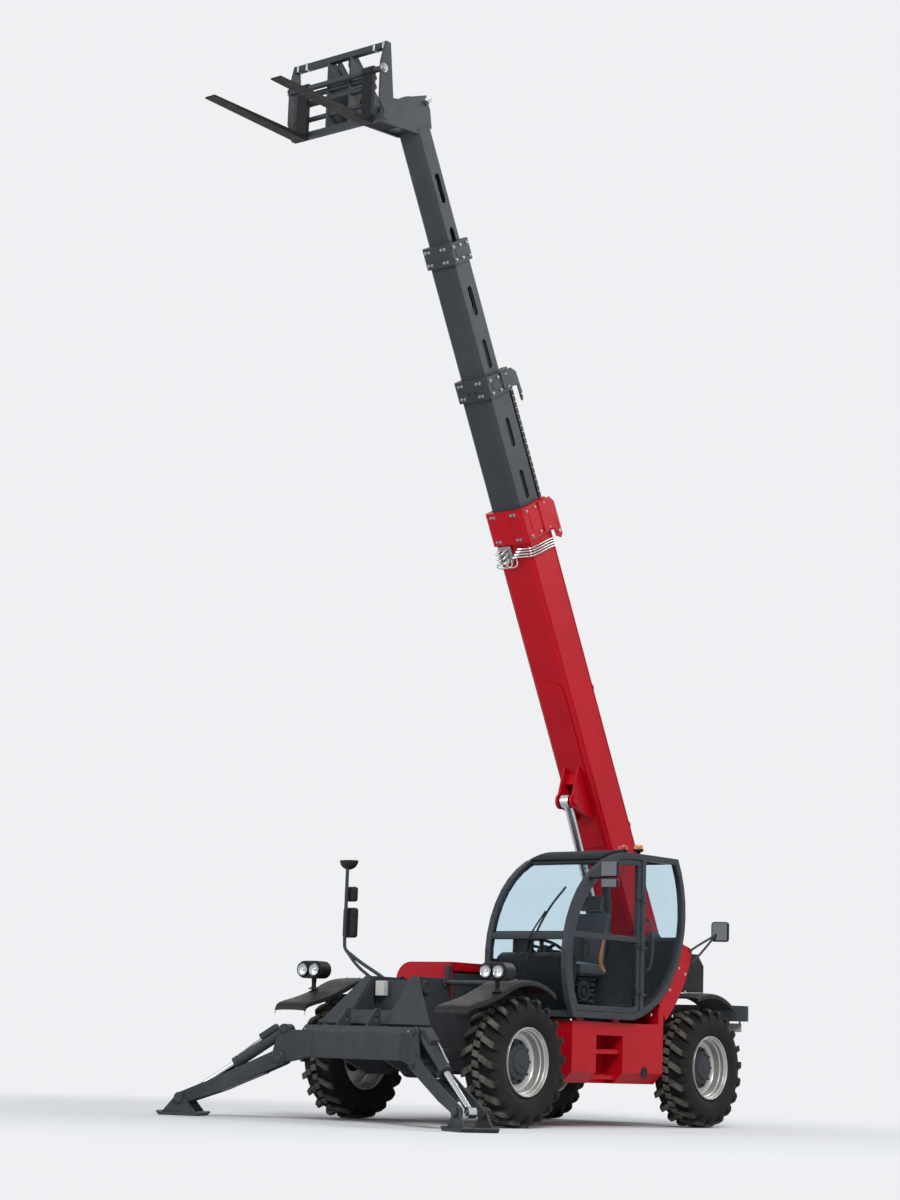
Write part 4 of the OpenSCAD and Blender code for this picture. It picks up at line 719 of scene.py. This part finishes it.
def round_lamp(name, place):
    """A lamp that looks ahead: bezel, reflector and lens, drawn in shares of its size."""
    bezel = [(1.1, -0.2), (1.12, 0.22), (1.06, 0.3), (0.98, 0.26), (0.95, 0.1), (0.95, -0.2)]
    dish = [(0.96, 0.22), (0.82, 0.1), (0.52, 0.04), (0.26, 0.02), (0.24, 0.12), (0.2, 0.17),
            (0.001, 0.18)]
    dome = [(0.97, 0.23), (0.8, 0.27), (0.5, 0.3), (0.2, 0.31), (0.001, 0.312)]
    for part, profile, finish in (
        ("bezel", bezel, BLACK), ("reflector", dish, CHROME), ("lens", dome, CLEAR_LENS),
    ):
        spun_at([(r * LAMP_SIZE, y * LAMP_SIZE) for r, y in profile], place, (1, 0, 0))
        done("%s_%s" % (name, part), finish)


def fit_lamps():
    for hand, side in SIDES:
        # A capsule drawn across the machine, with its lamps in the front face
        across = turned(MACHINE, (LAMP_X, side * LAMP_Y, LAMP_Z), 90, "Z")
        ends = [(end * POD_REACH + POD_R * math.sin(turn), end * POD_R * math.cos(turn))
                for end in (1, -1) for turn in (end * math.pi * k / 10 for k in range(11))]
        plate(ends, 0.08, -0.085, 0.014, across)
        pod = done("headlamp_pod_" + hand, BLACK, smooth=50)
        if side > 0:
            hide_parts("lamps")
        for k, out in enumerate((-LAMP_APART, LAMP_APART)):
            round_lamp("headlamp_%s_%d" % (hand, k + 1), (LAMP_FACE_X, side * LAMP_Y + out, LAMP_Z))
        spun_at([(0.052, 0.0), (0.05, 0.012), (0.026, 0.02), (0.022, 0.05), (0.026, 0.105),
                 (0.04, 0.116), (AXIS, 0.118)], (LAMP_X, side * LAMP_Y, FENDER_TOP_Z), (0, 0, 1))
        done("headlamp_foot_" + hand, BLACK)
    for name, y, glow in (("red", 0.62, RED_LENS), ("amber", 0.82, AMBER)):
        foot = (BEACON_X, y, ROOF_Z)
        spun_at([(0.034, 0.0), (0.032, 0.012), (0.02, 0.018), (0.018, 0.064), (0.024, 0.08),
                 (0.05, 0.09), (0.054, 0.096), (0.054, 0.112), (AXIS, 0.112)], foot, (0, 0, 1))
        done("beacon_stem_" + name, BLACK)
        spun_at([(0.05, 0.111), (0.051, 0.136), (0.047, 0.149), (0.03, 0.158), (AXIS, 0.162)],
                foot, (0, 0, 1))
        done("beacon_dome_" + name, glow)
    # Bare plate hung under the bumper on two strips
    block((-1.004, 0.735, 1.004), (-0.998, 0.925, 1.098), 0.002)
    done("bare_plate", PALE)
    join([block((-1.009, y - 0.01, 1.07), (-1.003, y + 0.01, 1.124), 0.002) for y in (0.76, 0.9)])
    done("plate_strips", CHARCOAL)
    # Round lamps sunk in the bumper's back
    for side in (-1, 1):
        for k, glow in enumerate((RED_LENS, AMBER)):
            y = side * (0.75 - 0.126 * k)
            spun_at([(0.05, 0.0), (0.05, 0.012), (0.044, 0.016), (0.04, 0.01), (0.03, 0.016),
                     (AXIS, 0.018)], (BUMPER_BACK_X, y, 1.2025), (-1, 0, 0))
            done("tail_lamp_%d_%d" % (k + 1, side + 2), glow)


# Fenders: thin bent sheets with turned-down edges, each on a bar from the frame's side plate
FENDER_R = 0.763
FENDER_WALL = 0.006
FENDER_BAR_Z = 1.351
FENDER_BAR_R = 0.025
FENDER_BAR_END = 1.091
# The sheet's section across the machine: place out from the middle, and drop
FENDER_EDGE = ((0.803, -0.046), (0.803, -0.012), (0.809, -0.003), (0.832, 0.001), (0.915, 0.005),
               (0.998, 0.006), (1.08, 0.005), (1.163, 0.001), (1.186, -0.003), (1.192, -0.012),
               (1.192, -0.046))


def arched(profile, steps, wall):
    """An (x, z) profile drawn out across Y through (y, drop) steps and given a wall."""
    y, drop = steps[0]
    trace([(x, y, z + drop) for x, z in profile])
    for before, after in zip(steps, steps[1:]):
        bpy.ops.mesh.extrude_edges_move(
            TRANSFORM_OT_translate={"value": (0, after[0] - before[0], after[1] - before[1])})
    face_out()
    modify("SOLIDIFY", thickness=wall, offset=0)
    edit()
    face_out()
    soften(0.002, 2, 50)
    set_in(MACHINE)


def fender_arc(x, start, end):
    """Points round a wheel at x, from one angle to another."""
    turns = [math.radians(start + (end - start) * k / 14) for k in range(15)]
    return [(x + FENDER_R * math.cos(turn), TYRE_R + FENDER_R * math.sin(turn)) for turn in turns]


def fit_fenders():
    front = fender_arc(WHEELBASE, 122, 62) + [
        (3.62, 1.262), (3.72, 1.222), (3.83, 1.187), (3.94, 1.158), (4.05, 1.132), (4.12, 1.112),
        (4.155, 1.092), (4.17, 1.062), (4.172, 1.032)]
    rear = fender_arc(0.0, 128, 68)
    for place, profile, x in (("front", front, 3.216), ("rear", rear, -0.052)):
        for hand, side, rail in (("left", 1, 0.168), ("right", -1, -0.388)):
            label = place + "_fender_%s" + hand
            arched(profile, [(side * y, drop) for y, drop in FENDER_EDGE], FENDER_WALL)
            shell = done(label % "", BLACK, smooth=40)
            bar((x, rail, FENDER_BAR_Z), (x, side * FENDER_BAR_END, FENDER_BAR_Z), FENDER_BAR_R)
            done(label % "bar_", CHARCOAL)
            spun_at([(0.056, 0.0), (0.056, 0.012), (0.048, 0.016), (0.026, 0.02), (0.0255, 0.03)],
                    (x, rail, FENDER_BAR_Z), (0, side, 0))
            done(label % "flange_", CHARCOAL)
            bolts(label % "bolts_", [
                (MACHINE @ Vector((x + step, side * y, 1.381)), (0, 0, 1))
                for step in (-0.05, 0.05) for y in (0.9, 1.06)])
        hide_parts(place + "_fenders")


# Mirrors: a pole at the right front, a pair on the cab's front pillar and one at the left rear
POLE_X = 3.4
POLE_Y = -1.0
PILLAR_MIRROR = (2.378, 1.51)


def mirror_head(name, place, size, facing=(-1, 0, 0)):
    """A rounded black shell with a silvered glass set into its face."""
    depth, width, height = size
    turn = MACHINE @ aimed(place, facing, "X", "Z")
    corner = Vector(size) / 2
    block(-corner, corner, min(depth, width) * 0.42, turn, 4)
    done(name + "_shell", BLACK)
    face, half_w, half_h = depth / 2, width * 0.42, height * 0.44
    block((face - 0.004, -half_w, -half_h), (face + 0.002, half_w, half_h), 0.0025, turn)
    done(name + "_glass", MIRROR)


def fit_mirrors():
    x, y = POLE_X, POLE_Y
    pipe([(x, -0.4, 1.34), (x, -0.48, 1.385), (x, -0.9, 1.605), (x, -0.985, 1.668),
          (x, y, 1.76), (x, y, 2.1), (x, y, 2.47)], 0.018)
    pole = done("mirror_pole", CHARCOAL)
    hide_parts("mirrors")
    pipe([(x + 0.02, -0.4, 1.25), (x + 0.024, -0.52, 1.33), (x + 0.022, -0.8, 1.5),
          (x + 0.004, -0.96, 1.64)], 0.016)
    done("mirror_pole_brace", CHARCOAL)
    spun_at([(0.04, 0.0), (0.04, 0.016), (0.024, 0.02), (0.022, 0.044), (AXIS, 0.044)],
            (x, -0.391, 1.335), (0, -1, 0))
    done("mirror_pole_foot", CHARCOAL)
    mirror_head("front_mirror_small", (x - 0.055, -0.985, 2.215), (0.06, 0.15, 0.15))
    mirror_head("front_mirror_tall", (x - 0.06, -0.985, 1.93), (0.066, 0.17, 0.3))
    # Half-dome mirror on top of the pole
    begin()
    bpy.ops.mesh.primitive_uv_sphere_add(segments=32, ring_count=16, radius=0.11)
    edit()
    bpy.ops.mesh.bisect(plane_co=(0, 0, 0), plane_no=(0, 0, 1), use_fill=True, clear_outer=True)
    bpy.ops.mesh.select_all(action="SELECT")
    bpy.ops.transform.resize(value=(0.62, 1, 0.86))
    leave()
    soften(0.004, 2, 50)
    bpy.context.object.location = (x - 0.02, y, 2.56)
    settle()
    set_in(MACHINE)
    done("front_mirror_dome", BLACK)
    # Pair of mirrors on the cab's front pillar
    spun_at([(0.03, 0.0), (0.03, 0.008), (0.018, 0.012), (0.016, 0.02), (AXIS, 0.022)],
            (2.225, 1.171, 2.43), (0, 1, 0), 28)
    done("pillar_mirror_foot", BLACK)
    pipe([(2.225, 1.188, 2.43), (2.24, 1.22, 2.43), (2.3, 1.35, 2.432), (2.362, 1.482, 2.434)],
         0.014)
    done("pillar_mirror_arm", BLACK)
    mirror_head("pillar_mirror_upper", (*PILLAR_MIRROR, 2.5), (0.055, 0.19, 0.16), (1, 0.15, 0))
    mirror_head(
        "pillar_mirror_lower", (*PILLAR_MIRROR, 2.364), (0.055, 0.19, 0.09), (1, 0.15, -0.1))
    # Mirror on two struts at the left rear
    for name, foot in (("upper", (0.34, 1.112, 1.8)), ("lower", (0.3, 1.112, 1.69))):
        pipe([foot, (foot[0] - 0.03, 1.135, foot[2] + 0.03), (-0.02, 1.215, 2.0)], 0.012)
        done("rear_mirror_strut_" + name, CHARCOAL)
    mirror_head("rear_mirror", (-0.06, 1.235, 2.03), (0.07, 0.19, 0.21), (1, 0.35, 0))


# Cab fittings: the screen and the back wall are arcs about these points
SCREEN_MIDDLE = Vector((1.505, 0, 1.628))
SCREEN_R = 1.083
CAB_RIGHT, CAB_LEFT = 0.245, 1.095
BACK_X, BACK_Z = 1.632, 2.165
SEAT_LEAN = 102


def on_screen(angle, y, proud=0.0):
    """A point on the curved windscreen, angle in degrees above level."""
    turn, reach = math.radians(angle), SCREEN_R + proud
    return SCREEN_MIDDLE + Vector((reach * math.cos(turn), y, reach * math.sin(turn)))


def cushion(name, low, high, crown, frame_in):
    """A crowned pad with sides drawn in between its corners and two sewn channels."""
    cube(low, high)
    bpy.ops.mesh.subdivide(number_cuts=9)
    leave()
    low, high = Vector(low), Vector(high)
    middle, half = (low + high) / 2, (high - low) / 2
    for vertex in bpy.context.object.data.vertices:
        u, v, w = ((vertex.co - middle)[k] / half[k] for k in range(3))
        dome = max((1 - u * u) * (1 - v * v), 0)
        if w > -0.99:
            sewn = 0.01 * (0.55 < abs(v) < 0.65)
            vertex.co.z += (crown * dome ** 0.6 - sewn) * max(w, 0)
        vertex.co.x -= half[0] * 0.06 * u * (1 - v * v)
        vertex.co.y -= half[1] * 0.04 * v * (1 - u * u)
    modify("SUBSURF", levels=2, render_levels=2)
    set_in(frame_in)
    piece = done(name, FABRIC, smooth=80)
    return piece


def fit_cab():
    # Seat: pedestal with bellows, two cushions, headrest and an orange belt
    seat = cushion("seat_cushion", (1.54, 0.405, 1.51), (2.005, 0.9, 1.6), 0.03, MACHINE)
    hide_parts("operator_seat")
    lean = turned(MACHINE, (1.56, 0.652, 1.57), -SEAT_LEAN)
    cushion("seat_back", (0.0, -0.235, -0.1), (0.56, 0.235, -0.01), 0.035, lean)
    cushion("seat_headrest", (0.59, -0.13, -0.085), (0.74, 0.13, -0.015), 0.02, lean)
    for k in range(6):
        z = 1.15 + 0.055 * k
        block((1.59, 0.5, z), (1.89, 0.805, z + 0.046), 0.018, segments=3)
        done("seat_bellows_%d" % (k + 1), BLACK)
    block((1.545, 0.43, 1.088), (1.925, 0.875, 1.152), 0.012)
    done("seat_base", BLACK)
    block((1.545, 0.42, 1.478), (1.985, 0.885, 1.514), 0.014)
    done("seat_pan", BLACK)
    pipe([(1.56, 0.89, 1.54), (1.64, 0.905, 1.6), (1.6, 0.88, 1.76), (1.48, 0.84, 2.05)], 0.016)
    done("seat_belt", ORANGE)
    # Armrest with a lever
    block((1.6, 0.3, 1.7), (1.93, 0.385, 1.75), 0.022, segments=3)
    done("armrest", BLACK)
    bar((1.88, 0.34, 1.745), (1.905, 0.34, 1.87), 0.02, tip=0.026)
    done("lever", BLACK)
    # Dash behind the lower screen
    plate([(2.33, 1.09), (2.42, 1.09), (2.49, 1.3), (2.52, 1.64), (2.44, 1.69), (2.32, 1.66)],
          CAB_RIGHT, CAB_LEFT, 0.02)
    done("dash", BLACK)
    block((2.3, 0.36, 1.66), (2.42, 0.56, 1.84), 0.024, segments=3)
    done("dash_display", BLACK)
    # Black floor mat and wall linings
    block((1.46, CAB_RIGHT, 1.0865), (2.31, CAB_LEFT, 1.094), 0.003)
    done("floor_mat", BLACK)
    plate([(0.8, 1.6), (1.02, 1.32), (1.42, 1.098), (2.38, 1.098), (2.48, 1.35), (2.5, 1.6)],
          0.2205, 0.2275, 0.002)
    done("right_lining", BLACK)
    turns = [math.radians(194 + 6 * k) for k in range(10)]
    bow = [(BACK_X + radius * math.cos(turn), BACK_Z + radius * math.sin(turn))
           for radius, order in ((1.0955, turns), (1.0875, turns[::-1])) for turn in order]
    plate(bow, CAB_RIGHT, CAB_LEFT, 0.002)
    done("rear_lining", BLACK)
    # Bar across the screen, wiper and its spindle
    bar_low, bar_high = on_screen(9.5, 0.236, 0.004), on_screen(12.8, 1.108, 0.03)
    block((bar_high.x - 0.06, bar_low.y, bar_low.z), (bar_low.x + 0.02, bar_high.y, bar_high.z),
          0.01)
    done("screen_bar", CHARCOAL)
    spun_at([(0.034, 0.0), (0.032, 0.02), (0.018, 0.03), (AXIS, 0.032)],
            on_screen(-16, 0.56), (1, 0, -0.28))
    done("wiper_spindle", BLACK)
    pipe([on_screen(-16, 0.56, 0.026), on_screen(-4, 0.64, 0.05), on_screen(10, 0.74, 0.062),
          on_screen(24, 0.85, 0.04)], 0.009)
    done("wiper_arm", BLACK)
    pipe([on_screen(angle, y, 0.016)
          for angle, y in ((-2, 0.69), (12, 0.775), (26, 0.865), (40, 0.955))], 0.011)
    done("wiper_blade", BLACK)
    # Door handle, lock and a round speaker grille
    pipe([(2.3, 1.166, 1.64), (2.3, 1.2, 1.655), (2.3, 1.2, 1.79), (2.3, 1.166, 1.805)], 0.011)
    done("door_handle", BLACK, "door")
    block((2.27, 1.156, 1.61), (2.33, 1.172, 1.835), 0.006)
    done("door_lock", BLACK, "door")
    spun_at([(0.094, -0.022), (0.096, -0.004), (0.088, 0.0), (0.078, -0.006), (0.064, -0.008),
             (0.06, -0.002), (0.046, -0.002), (0.042, -0.008), (AXIS, -0.01)],
            (2.258, 1.146, 1.318), (0, 1, 0))
    done("door_speaker", BLACK, "door")
    # Grab rail behind the door's edge
    pipe([(1.25, 1.178, 1.56), (1.25, 1.225, 1.58), (1.25, 1.225, 2.06), (1.25, 1.178, 2.08)],
         0.013)
    done("grab_rail", CHARCOAL)


# Boom fittings
COLLAR_BOLT_IN = 0.045
COLLAR_PLATE_IN = 0.075
COLLAR_PLATE_PROUD = 0.004
TONGUE_START, TONGUE_END, TONGUE_R = 1.25, 3.0, 0.165
WELD_Y, WELD_Z = 0.2155, 0.203


def collar_spots(end, length, half_w, half_h):
    """Paired bolts at both edges of a collar, below, at the sides, and on top beside the chain."""
    spots = []
    for along in (end - length + COLLAR_BOLT_IN, end - COLLAR_BOLT_IN):
        for side in (-0.55, 0.55):
            for step in (-0.022, 0.022):
                spots.append((along, side * half_w + step, -half_h, (0, 0, -1)))
                if side < 0:
                    spots.append((along, side * half_w + step, half_h, (0, 0, 1)))
        for hand in (-1, 1):
            for up in (-0.62, 0.0, 0.62):
                spots.append((along, hand * half_w, up * half_h, (0, hand, 0)))
    turn = BOOM.to_3x3()
    return [(BOOM @ Vector(spot), turn @ Vector(direction)) for *spot, direction in spots]


def fit_boom():
    for name, end, length, half_w, half_h, body, finish in (
        ("base", 5.06, 0.36, 0.241, 0.266, "boom", RED),
        ("second", 6.485, 0.225, 0.213, 0.23, "boom_2", CHARCOAL),
        ("third", 7.91, 0.225, 0.185, 0.194, "boom_3", CHARCOAL),
    ):
        bolts("collar_bolts_" + name, collar_spots(end, length, half_w, half_h), body, 0.013, 0.014)
        # Wear-pad plates let into the collar's faces
        low, high = end - length + COLLAR_PLATE_IN, end - COLLAR_PLATE_IN
        faces = [(hand * half_w, 0, COLLAR_PLATE_PROUD, half_h * 0.5) for hand in (-1, 1)]
        faces += [(0, level * half_h, half_w * 0.35, COLLAR_PLATE_PROUD) for level in (-1, 1)]
        join([block((low, y - wide, z - tall), (high, y + wide, z + tall), 0.003, BOOM)
              for y, z, wide, tall in faces])
        done("collar_plates_" + name, finish, body)
    # Ears that carry the hose chain, on the left of two collars
    for name, body, finish, y, ear, pin in (
        ("base", "boom", RED, 0.2415,
         [(4.72, 0.06), (5.05, 0.06), (5.05, 0.28), (4.98, 0.345), (4.62, 0.35),
          (4.58, 0.31), (4.62, 0.235), (4.72, 0.215)], (4.66, 0.3)),
        ("second", "boom_2", CHARCOAL, 0.2135,
         [(6.3, 0.05), (6.48, 0.05), (6.48, 0.25), (6.42, 0.325), (6.16, 0.345),
          (6.1, 0.312), (6.12, 0.288), (6.28, 0.284)], (6.17, 0.318)),
    ):
        plate(ear, y, y + 0.012, 0.003, BOOM)
        done("chain_ear_" + name, finish, body)
        spun_at([(0.02, 0.0), (0.02, 0.01), (0.015, 0.014), (AXIS, 0.014)],
                (pin[0], y + 0.011, pin[1]), (0, 1, 0), 28, BOOM)
        done("chain_ear_pin_" + name, DULL, body)
    # Hydraulic pipes from the couplings under the base collar round its left side
    for k in range(4):
        along = 4.56 + 0.028 * k
        pipe([(along, 0.02 + 0.03 * k, -0.262), (along, 0.15, -0.264),
              (along - 0.005, 0.222, -0.25), (along - 0.01, 0.236, -0.18),
              (along - 0.02, 0.234, 0.1), (along - 0.03, 0.228, 0.195)], 0.008, BOOM)
        done("collar_pipe_%d" % (k + 1), STEEL, "boom")
        bar((along, -0.01 + 0.03 * k, -0.262), (along, 0.045 + 0.03 * k, -0.262), 0.015, BOOM, 6)
        done("collar_coupling_%d" % (k + 1), CHROME, "boom")
    block((4.52, -0.17, -0.268), (4.69, -0.005, -0.24), 0.004, BOOM)
    done("coupling_block", DULL, "boom")
    for k in range(6):
        along, side = 4.545 + 0.055 * (k % 3), -0.14 + 0.075 * (k // 3)
        spun_at([(0.016, 0.0), (0.016, 0.018), (0.021, 0.022), (0.021, 0.046), (0.014, 0.05),
                 (0.013, 0.078), (0.009, 0.084), (AXIS, 0.085)],
                (along, side, -0.266), (-0.35, -0.25, -1), 20, BOOM)
        done("quick_coupling_%d" % (k + 1), STEEL, "boom")
    for k in range(3):
        side = -0.15 + 0.07 * k
        pipe([(4.545, side, -0.33), (4.5, side - 0.03, -0.345), (4.47, side + 0.02, -0.32),
              (4.49, side + 0.05, -0.285), (4.54, side + 0.045, -0.268)], 0.007, BOOM)
        done("coupling_loop_%d" % (k + 1), STEEL, "boom")
    # Doubler plate with a rounded end on the base section's underside
    bends = [math.pi * k / 12 for k in range(1, 12)]
    tongue = [
        (TONGUE_START, -TONGUE_R), (TONGUE_END, -TONGUE_R),
        *((TONGUE_END + TONGUE_R * math.sin(turn), -TONGUE_R * math.cos(turn)) for turn in bends),
        (TONGUE_END, TONGUE_R), (TONGUE_START, TONGUE_R)]
    plate(tongue, 0.2445, 0.2515, 0.002, turned(BOOM, (0, 0, 0), -90, "X"))
    done("base_doubler", RED, "boom")
    # Weld beads along the base section's edges
    for hand in (-1, 1):
        for level in (-1, 1):
            pipe([(along, hand * WELD_Y, level * WELD_Z) for along in (-0.24, 2.2, 4.69)],
                 0.005, BOOM, 1)
            done("base_weld_%d_%d" % (hand + 2, level + 2), RED, "boom")
    # Caps on the boom's pivot and on the lift cylinder's upper pin
    for hand, out in SIDES:
        spun_at([(0.115, -0.01), (0.115, 0.008), (0.108, 0.014), (0.06, 0.016), (0.056, 0.03),
                 (AXIS, 0.032)], Vector(BOOM_PIVOT) + Vector((0, out * 0.295, 0)), (0, out, 0))
        done("pivot_cap_" + hand, CHARCOAL)
        spun_at([(0.058, 0.0), (0.056, 0.02), (0.044, 0.024), (0.04, 0.016), (AXIS, 0.016)],
                (1.88, out * 0.103, -0.47), (0, out, 0), frame_in=BOOM)
        done("lift_pin_cap_" + hand, RED, "boom")
    # A front and a rear plate box in the lug under the boom
    for name, along, slope in (("front", 2.09, 2.016), ("rear", 1.62, 1.724)):
        plate([(along, -0.246), (along + 0.014, -0.246), (slope + 0.014, -0.34), (slope, -0.34)],
              -0.078, 0.078, 0.003, BOOM)
        done("lug_plate_" + name, RED, "boom")
    # Hook ring under the second collar
    pipe([(6.36, -0.035, -0.232), (6.345, -0.05, -0.265), (6.33, -0.028, -0.296),
          (6.328, 0.028, -0.296), (6.345, 0.05, -0.265), (6.36, 0.035, -0.232)], 0.01, BOOM)
    done("collar_ring", CHARCOAL, "boom_2")
    # Bright couplings on the boom's head
    for k, side in enumerate((0.06, 0.1)):
        bar((9.345, side, 0.17), (9.345, side, 0.285), 0.017, BOOM, 12)
        done("head_coupling_%d" % (k + 1), CHROME, "boom_4")
    block((9.3, 0.03, 0.15), (9.385, 0.128, 0.186), 0.006, BOOM)
    done("head_coupling_block", STEEL, "boom_4")
    for k, side in enumerate((-0.09, -0.05)):
        pipe([(9.33, side, 0.17), (9.4, side, 0.185), (9.44, side, 0.09), (9.42, side, -0.06),
              (9.36, side, -0.2)], 0.011, BOOM)
        done("head_hose_%d" % (k + 1), BLACK, "boom_4")


def fit_carriage():
    # Side-shift rods and cylinder between the inner plates
    for k, (z, radius) in enumerate(((0.15, 0.03), (0.06, 0.034), (-0.11, 0.026))):
        bar((0.455, -0.44, z), (0.455, 0.44, z), radius, TIP)
        done("carriage_rod_%d" % (k + 1), CHARCOAL, "carriage")
    # Clamps on the top bar, and caps on the fork shaft and the carriage's pin
    join([block((0.424, side - 0.012, 0.414), (0.5, side + 0.012, 0.488), 0.006, TIP)
          for side in (-0.56, -0.44, 0.44, 0.56)])
    done("carriage_clamps", STEEL, "carriage")
    for hand, side in SIDES:
        spun_at([(0.048, 0.0), (0.048, 0.01), (0.034, 0.012), (0.032, 0.026), (AXIS, 0.027)],
                (0.527, side * 0.606, 0.19), (0, side, 0), frame_in=TIP)
        done("shaft_cap_" + hand, DULL, "carriage")
        spun_at([(0.06, 0.0), (0.06, 0.022), (0.05, 0.028), (0.04, 0.02), (AXIS, 0.02)],
                (0.0, side * 0.155, 0.0), (0, side, 0), frame_in=TIP)
        done("carriage_pin_cap_" + hand, CHARCOAL, "carriage")


# Stabilisers: angles of the arm outward and down, and of the cylinder down, in degrees
ARM_PIVOT = (4.393, 0.883, 0.58)
ARM_SPLAY = 65.3
ARM_DIP = 23.317
ARM_L = 1.051
LEG_PIN = (-0.046, 0, 0.266)
LEG_DIP = 34.0


def fit_stabilisers():
    for hand, side in SIDES:
        # Frames with X along the arm or the cylinder and Z up, mirrored for the right
        arm = turned(MACHINE @ Matrix.Diagonal((1, side, 1, 1)), ARM_PIVOT, ARM_SPLAY, "Z")
        dip = turned(arm, (0, 0, 0), ARM_DIP)
        leg = turned(arm, LEG_PIN, LEG_DIP)
        leg_body, arm_body = "leg_barrel_" + hand, "arm_" + hand
        pieces = [
            (block((0.06, -0.046, 0.048), (0.26, 0.046, 0.104), 0.008, leg),
             "valve_block_", CHARCOAL, leg_body),
            (pipe([(0.255, 0.03, 0.08), (0.33, 0.034, 0.074), (0.42, 0.03, 0.068),
                   (0.56, 0.026, 0.062)], 0.008, leg), "leg_pipe_", STEEL, leg_body),
            (plate([(0.25, -0.07), (0.6, -0.07), (0.56, -0.02), (0.29, -0.02)],
                   0.118, 0.124, 0.002, dip), "arm_doubler_", CHARCOAL, arm_body),
        ]
        for out in (-1, 1):
            pieces.append((
                spun_at([(0.06, 0.0), (0.058, 0.014), (0.046, 0.02), (0.04, 0.014), (AXIS, 0.014)],
                        (0, out * 0.12, 0), (0, out, 0), frame_in=dip),
                "arm_pin_cap_%d_" % (out + 2), CHARCOAL, "chassis"))
            pieces.append((
                spun_at([(0.046, 0.0), (0.044, 0.016), (0.034, 0.02), (AXIS, 0.02)],
                        (ARM_L, out * 0.16, 0), (0, out, 0), frame_in=dip),
                "foot_pin_cap_%d_" % (out + 2), CHARCOAL, "foot_" + hand))
        for piece, name, finish, body in pieces:
            begin(piece)
            if side < 0:
                edit()
                face_out()
            done(name + hand, finish, body)


# Chassis fittings
LIFT_FOOT = (-0.3, BOOM_Y, 0.9)
LIFT_TILT = 64.3
TOOTH_STEP = 0.024
PANEL_Y = 1.109


def fit_chassis():
    # Bolts beside the beam's ends and on the side panel
    bolts("beam_bolts", [
        ((1.73, side * 0.64, 0.63 + 0.045 * k), (1, 0, 0)) for side in (-1, 1) for k in range(6)],
        radius=0.008)
    bolts("panel_bolts", [
        (MACHINE @ Vector((x, PANEL_Y, z)), (0, 1, 0)) for x, z in (
            (0.524, 1.622), (0.408, 1.565), (0.686, 1.393), (0.403, 1.384), (1.021, 1.129),
            (0.633, 1.125))], finish=STEEL)
    # Serrated edges on the steps, and a black disc in the tank's side
    for k, (y, z) in enumerate(((1.02, 0.506), (1.08, 0.756))):
        starts = [1.532 + TOOTH_STEP * n for n in range(18)]
        join([block((x, y - 0.012, z - 0.004), (x + 0.013, y + 0.001, z + 0.01), 0.002)
              for x in starts])
        done("step_teeth_%d" % (k + 1), RED)
    # The black disc is painted shade, standing for a round hole low in the tank's side
    spun_at([(0.058, -0.002), (0.058, 0.003), (0.05, 0.004), (0.046, 0.001), (0.03, 0.001),
             (AXIS, 0.0015)], (1.133, 1.11, 0.548), (0, 1, 0))
    done("tank_hole_painted_shade", BLACK)
    # Pipes along the lift cylinder
    lift = turned(MACHINE, LIFT_FOOT, -LIFT_TILT)
    for k, side in enumerate((-0.024, 0.024)):
        pipe([(0.2, side, 0.086), (0.215, side, 0.1), (0.26, side, 0.102), (0.9, side, 0.102),
              (1.4 + 0.08 * k, side, 0.102), (1.425 + 0.08 * k, side, 0.094)], 0.009, lift)
        done("lift_pipe_%d" % (k + 1), STEEL, "lift_barrel")
    # Pins on the front tower's plates, a bulkhead between them and a pale connector box
    for side, y, out in (("left", 0.172, 1), ("right", -0.392, -1)):
        spun_at([(0.062, 0.0), (0.06, 0.03), (0.05, 0.038), (0.046, 0.028), (AXIS, 0.028)],
                (3.56, y, 1.29), (0, out, 0))
        done("tower_pin_" + side, CHARCOAL)
    block((3.645, -0.348, 0.905), (3.66, 0.128, 1.352), 0.004)
    done("front_bulkhead", CHARCOAL)
    block((3.658, -0.3, 1.2), (3.725, -0.19, 1.345), 0.008)
    done("connector_box", PALE)
    # Wall between the engine bay and the boom, and the hood's flange over it
    block((0.83, -0.437, 1.0), (2.36, -0.425, 1.48), 0.003)
    done("bay_wall", CHARCOAL)
    block((0.835, -0.4245, 1.5), (2.36, -0.4145, 1.576), 0.003)
    done("hood_flange", RED, "hood")


place_camera()
light_studio()
dress_solids()
fit_wheels()
fit_lamps()
fit_fenders()
fit_mirrors()
fit_cab()
fit_boom()
fit_carriage()
fit_stabilisers()
fit_chassis()
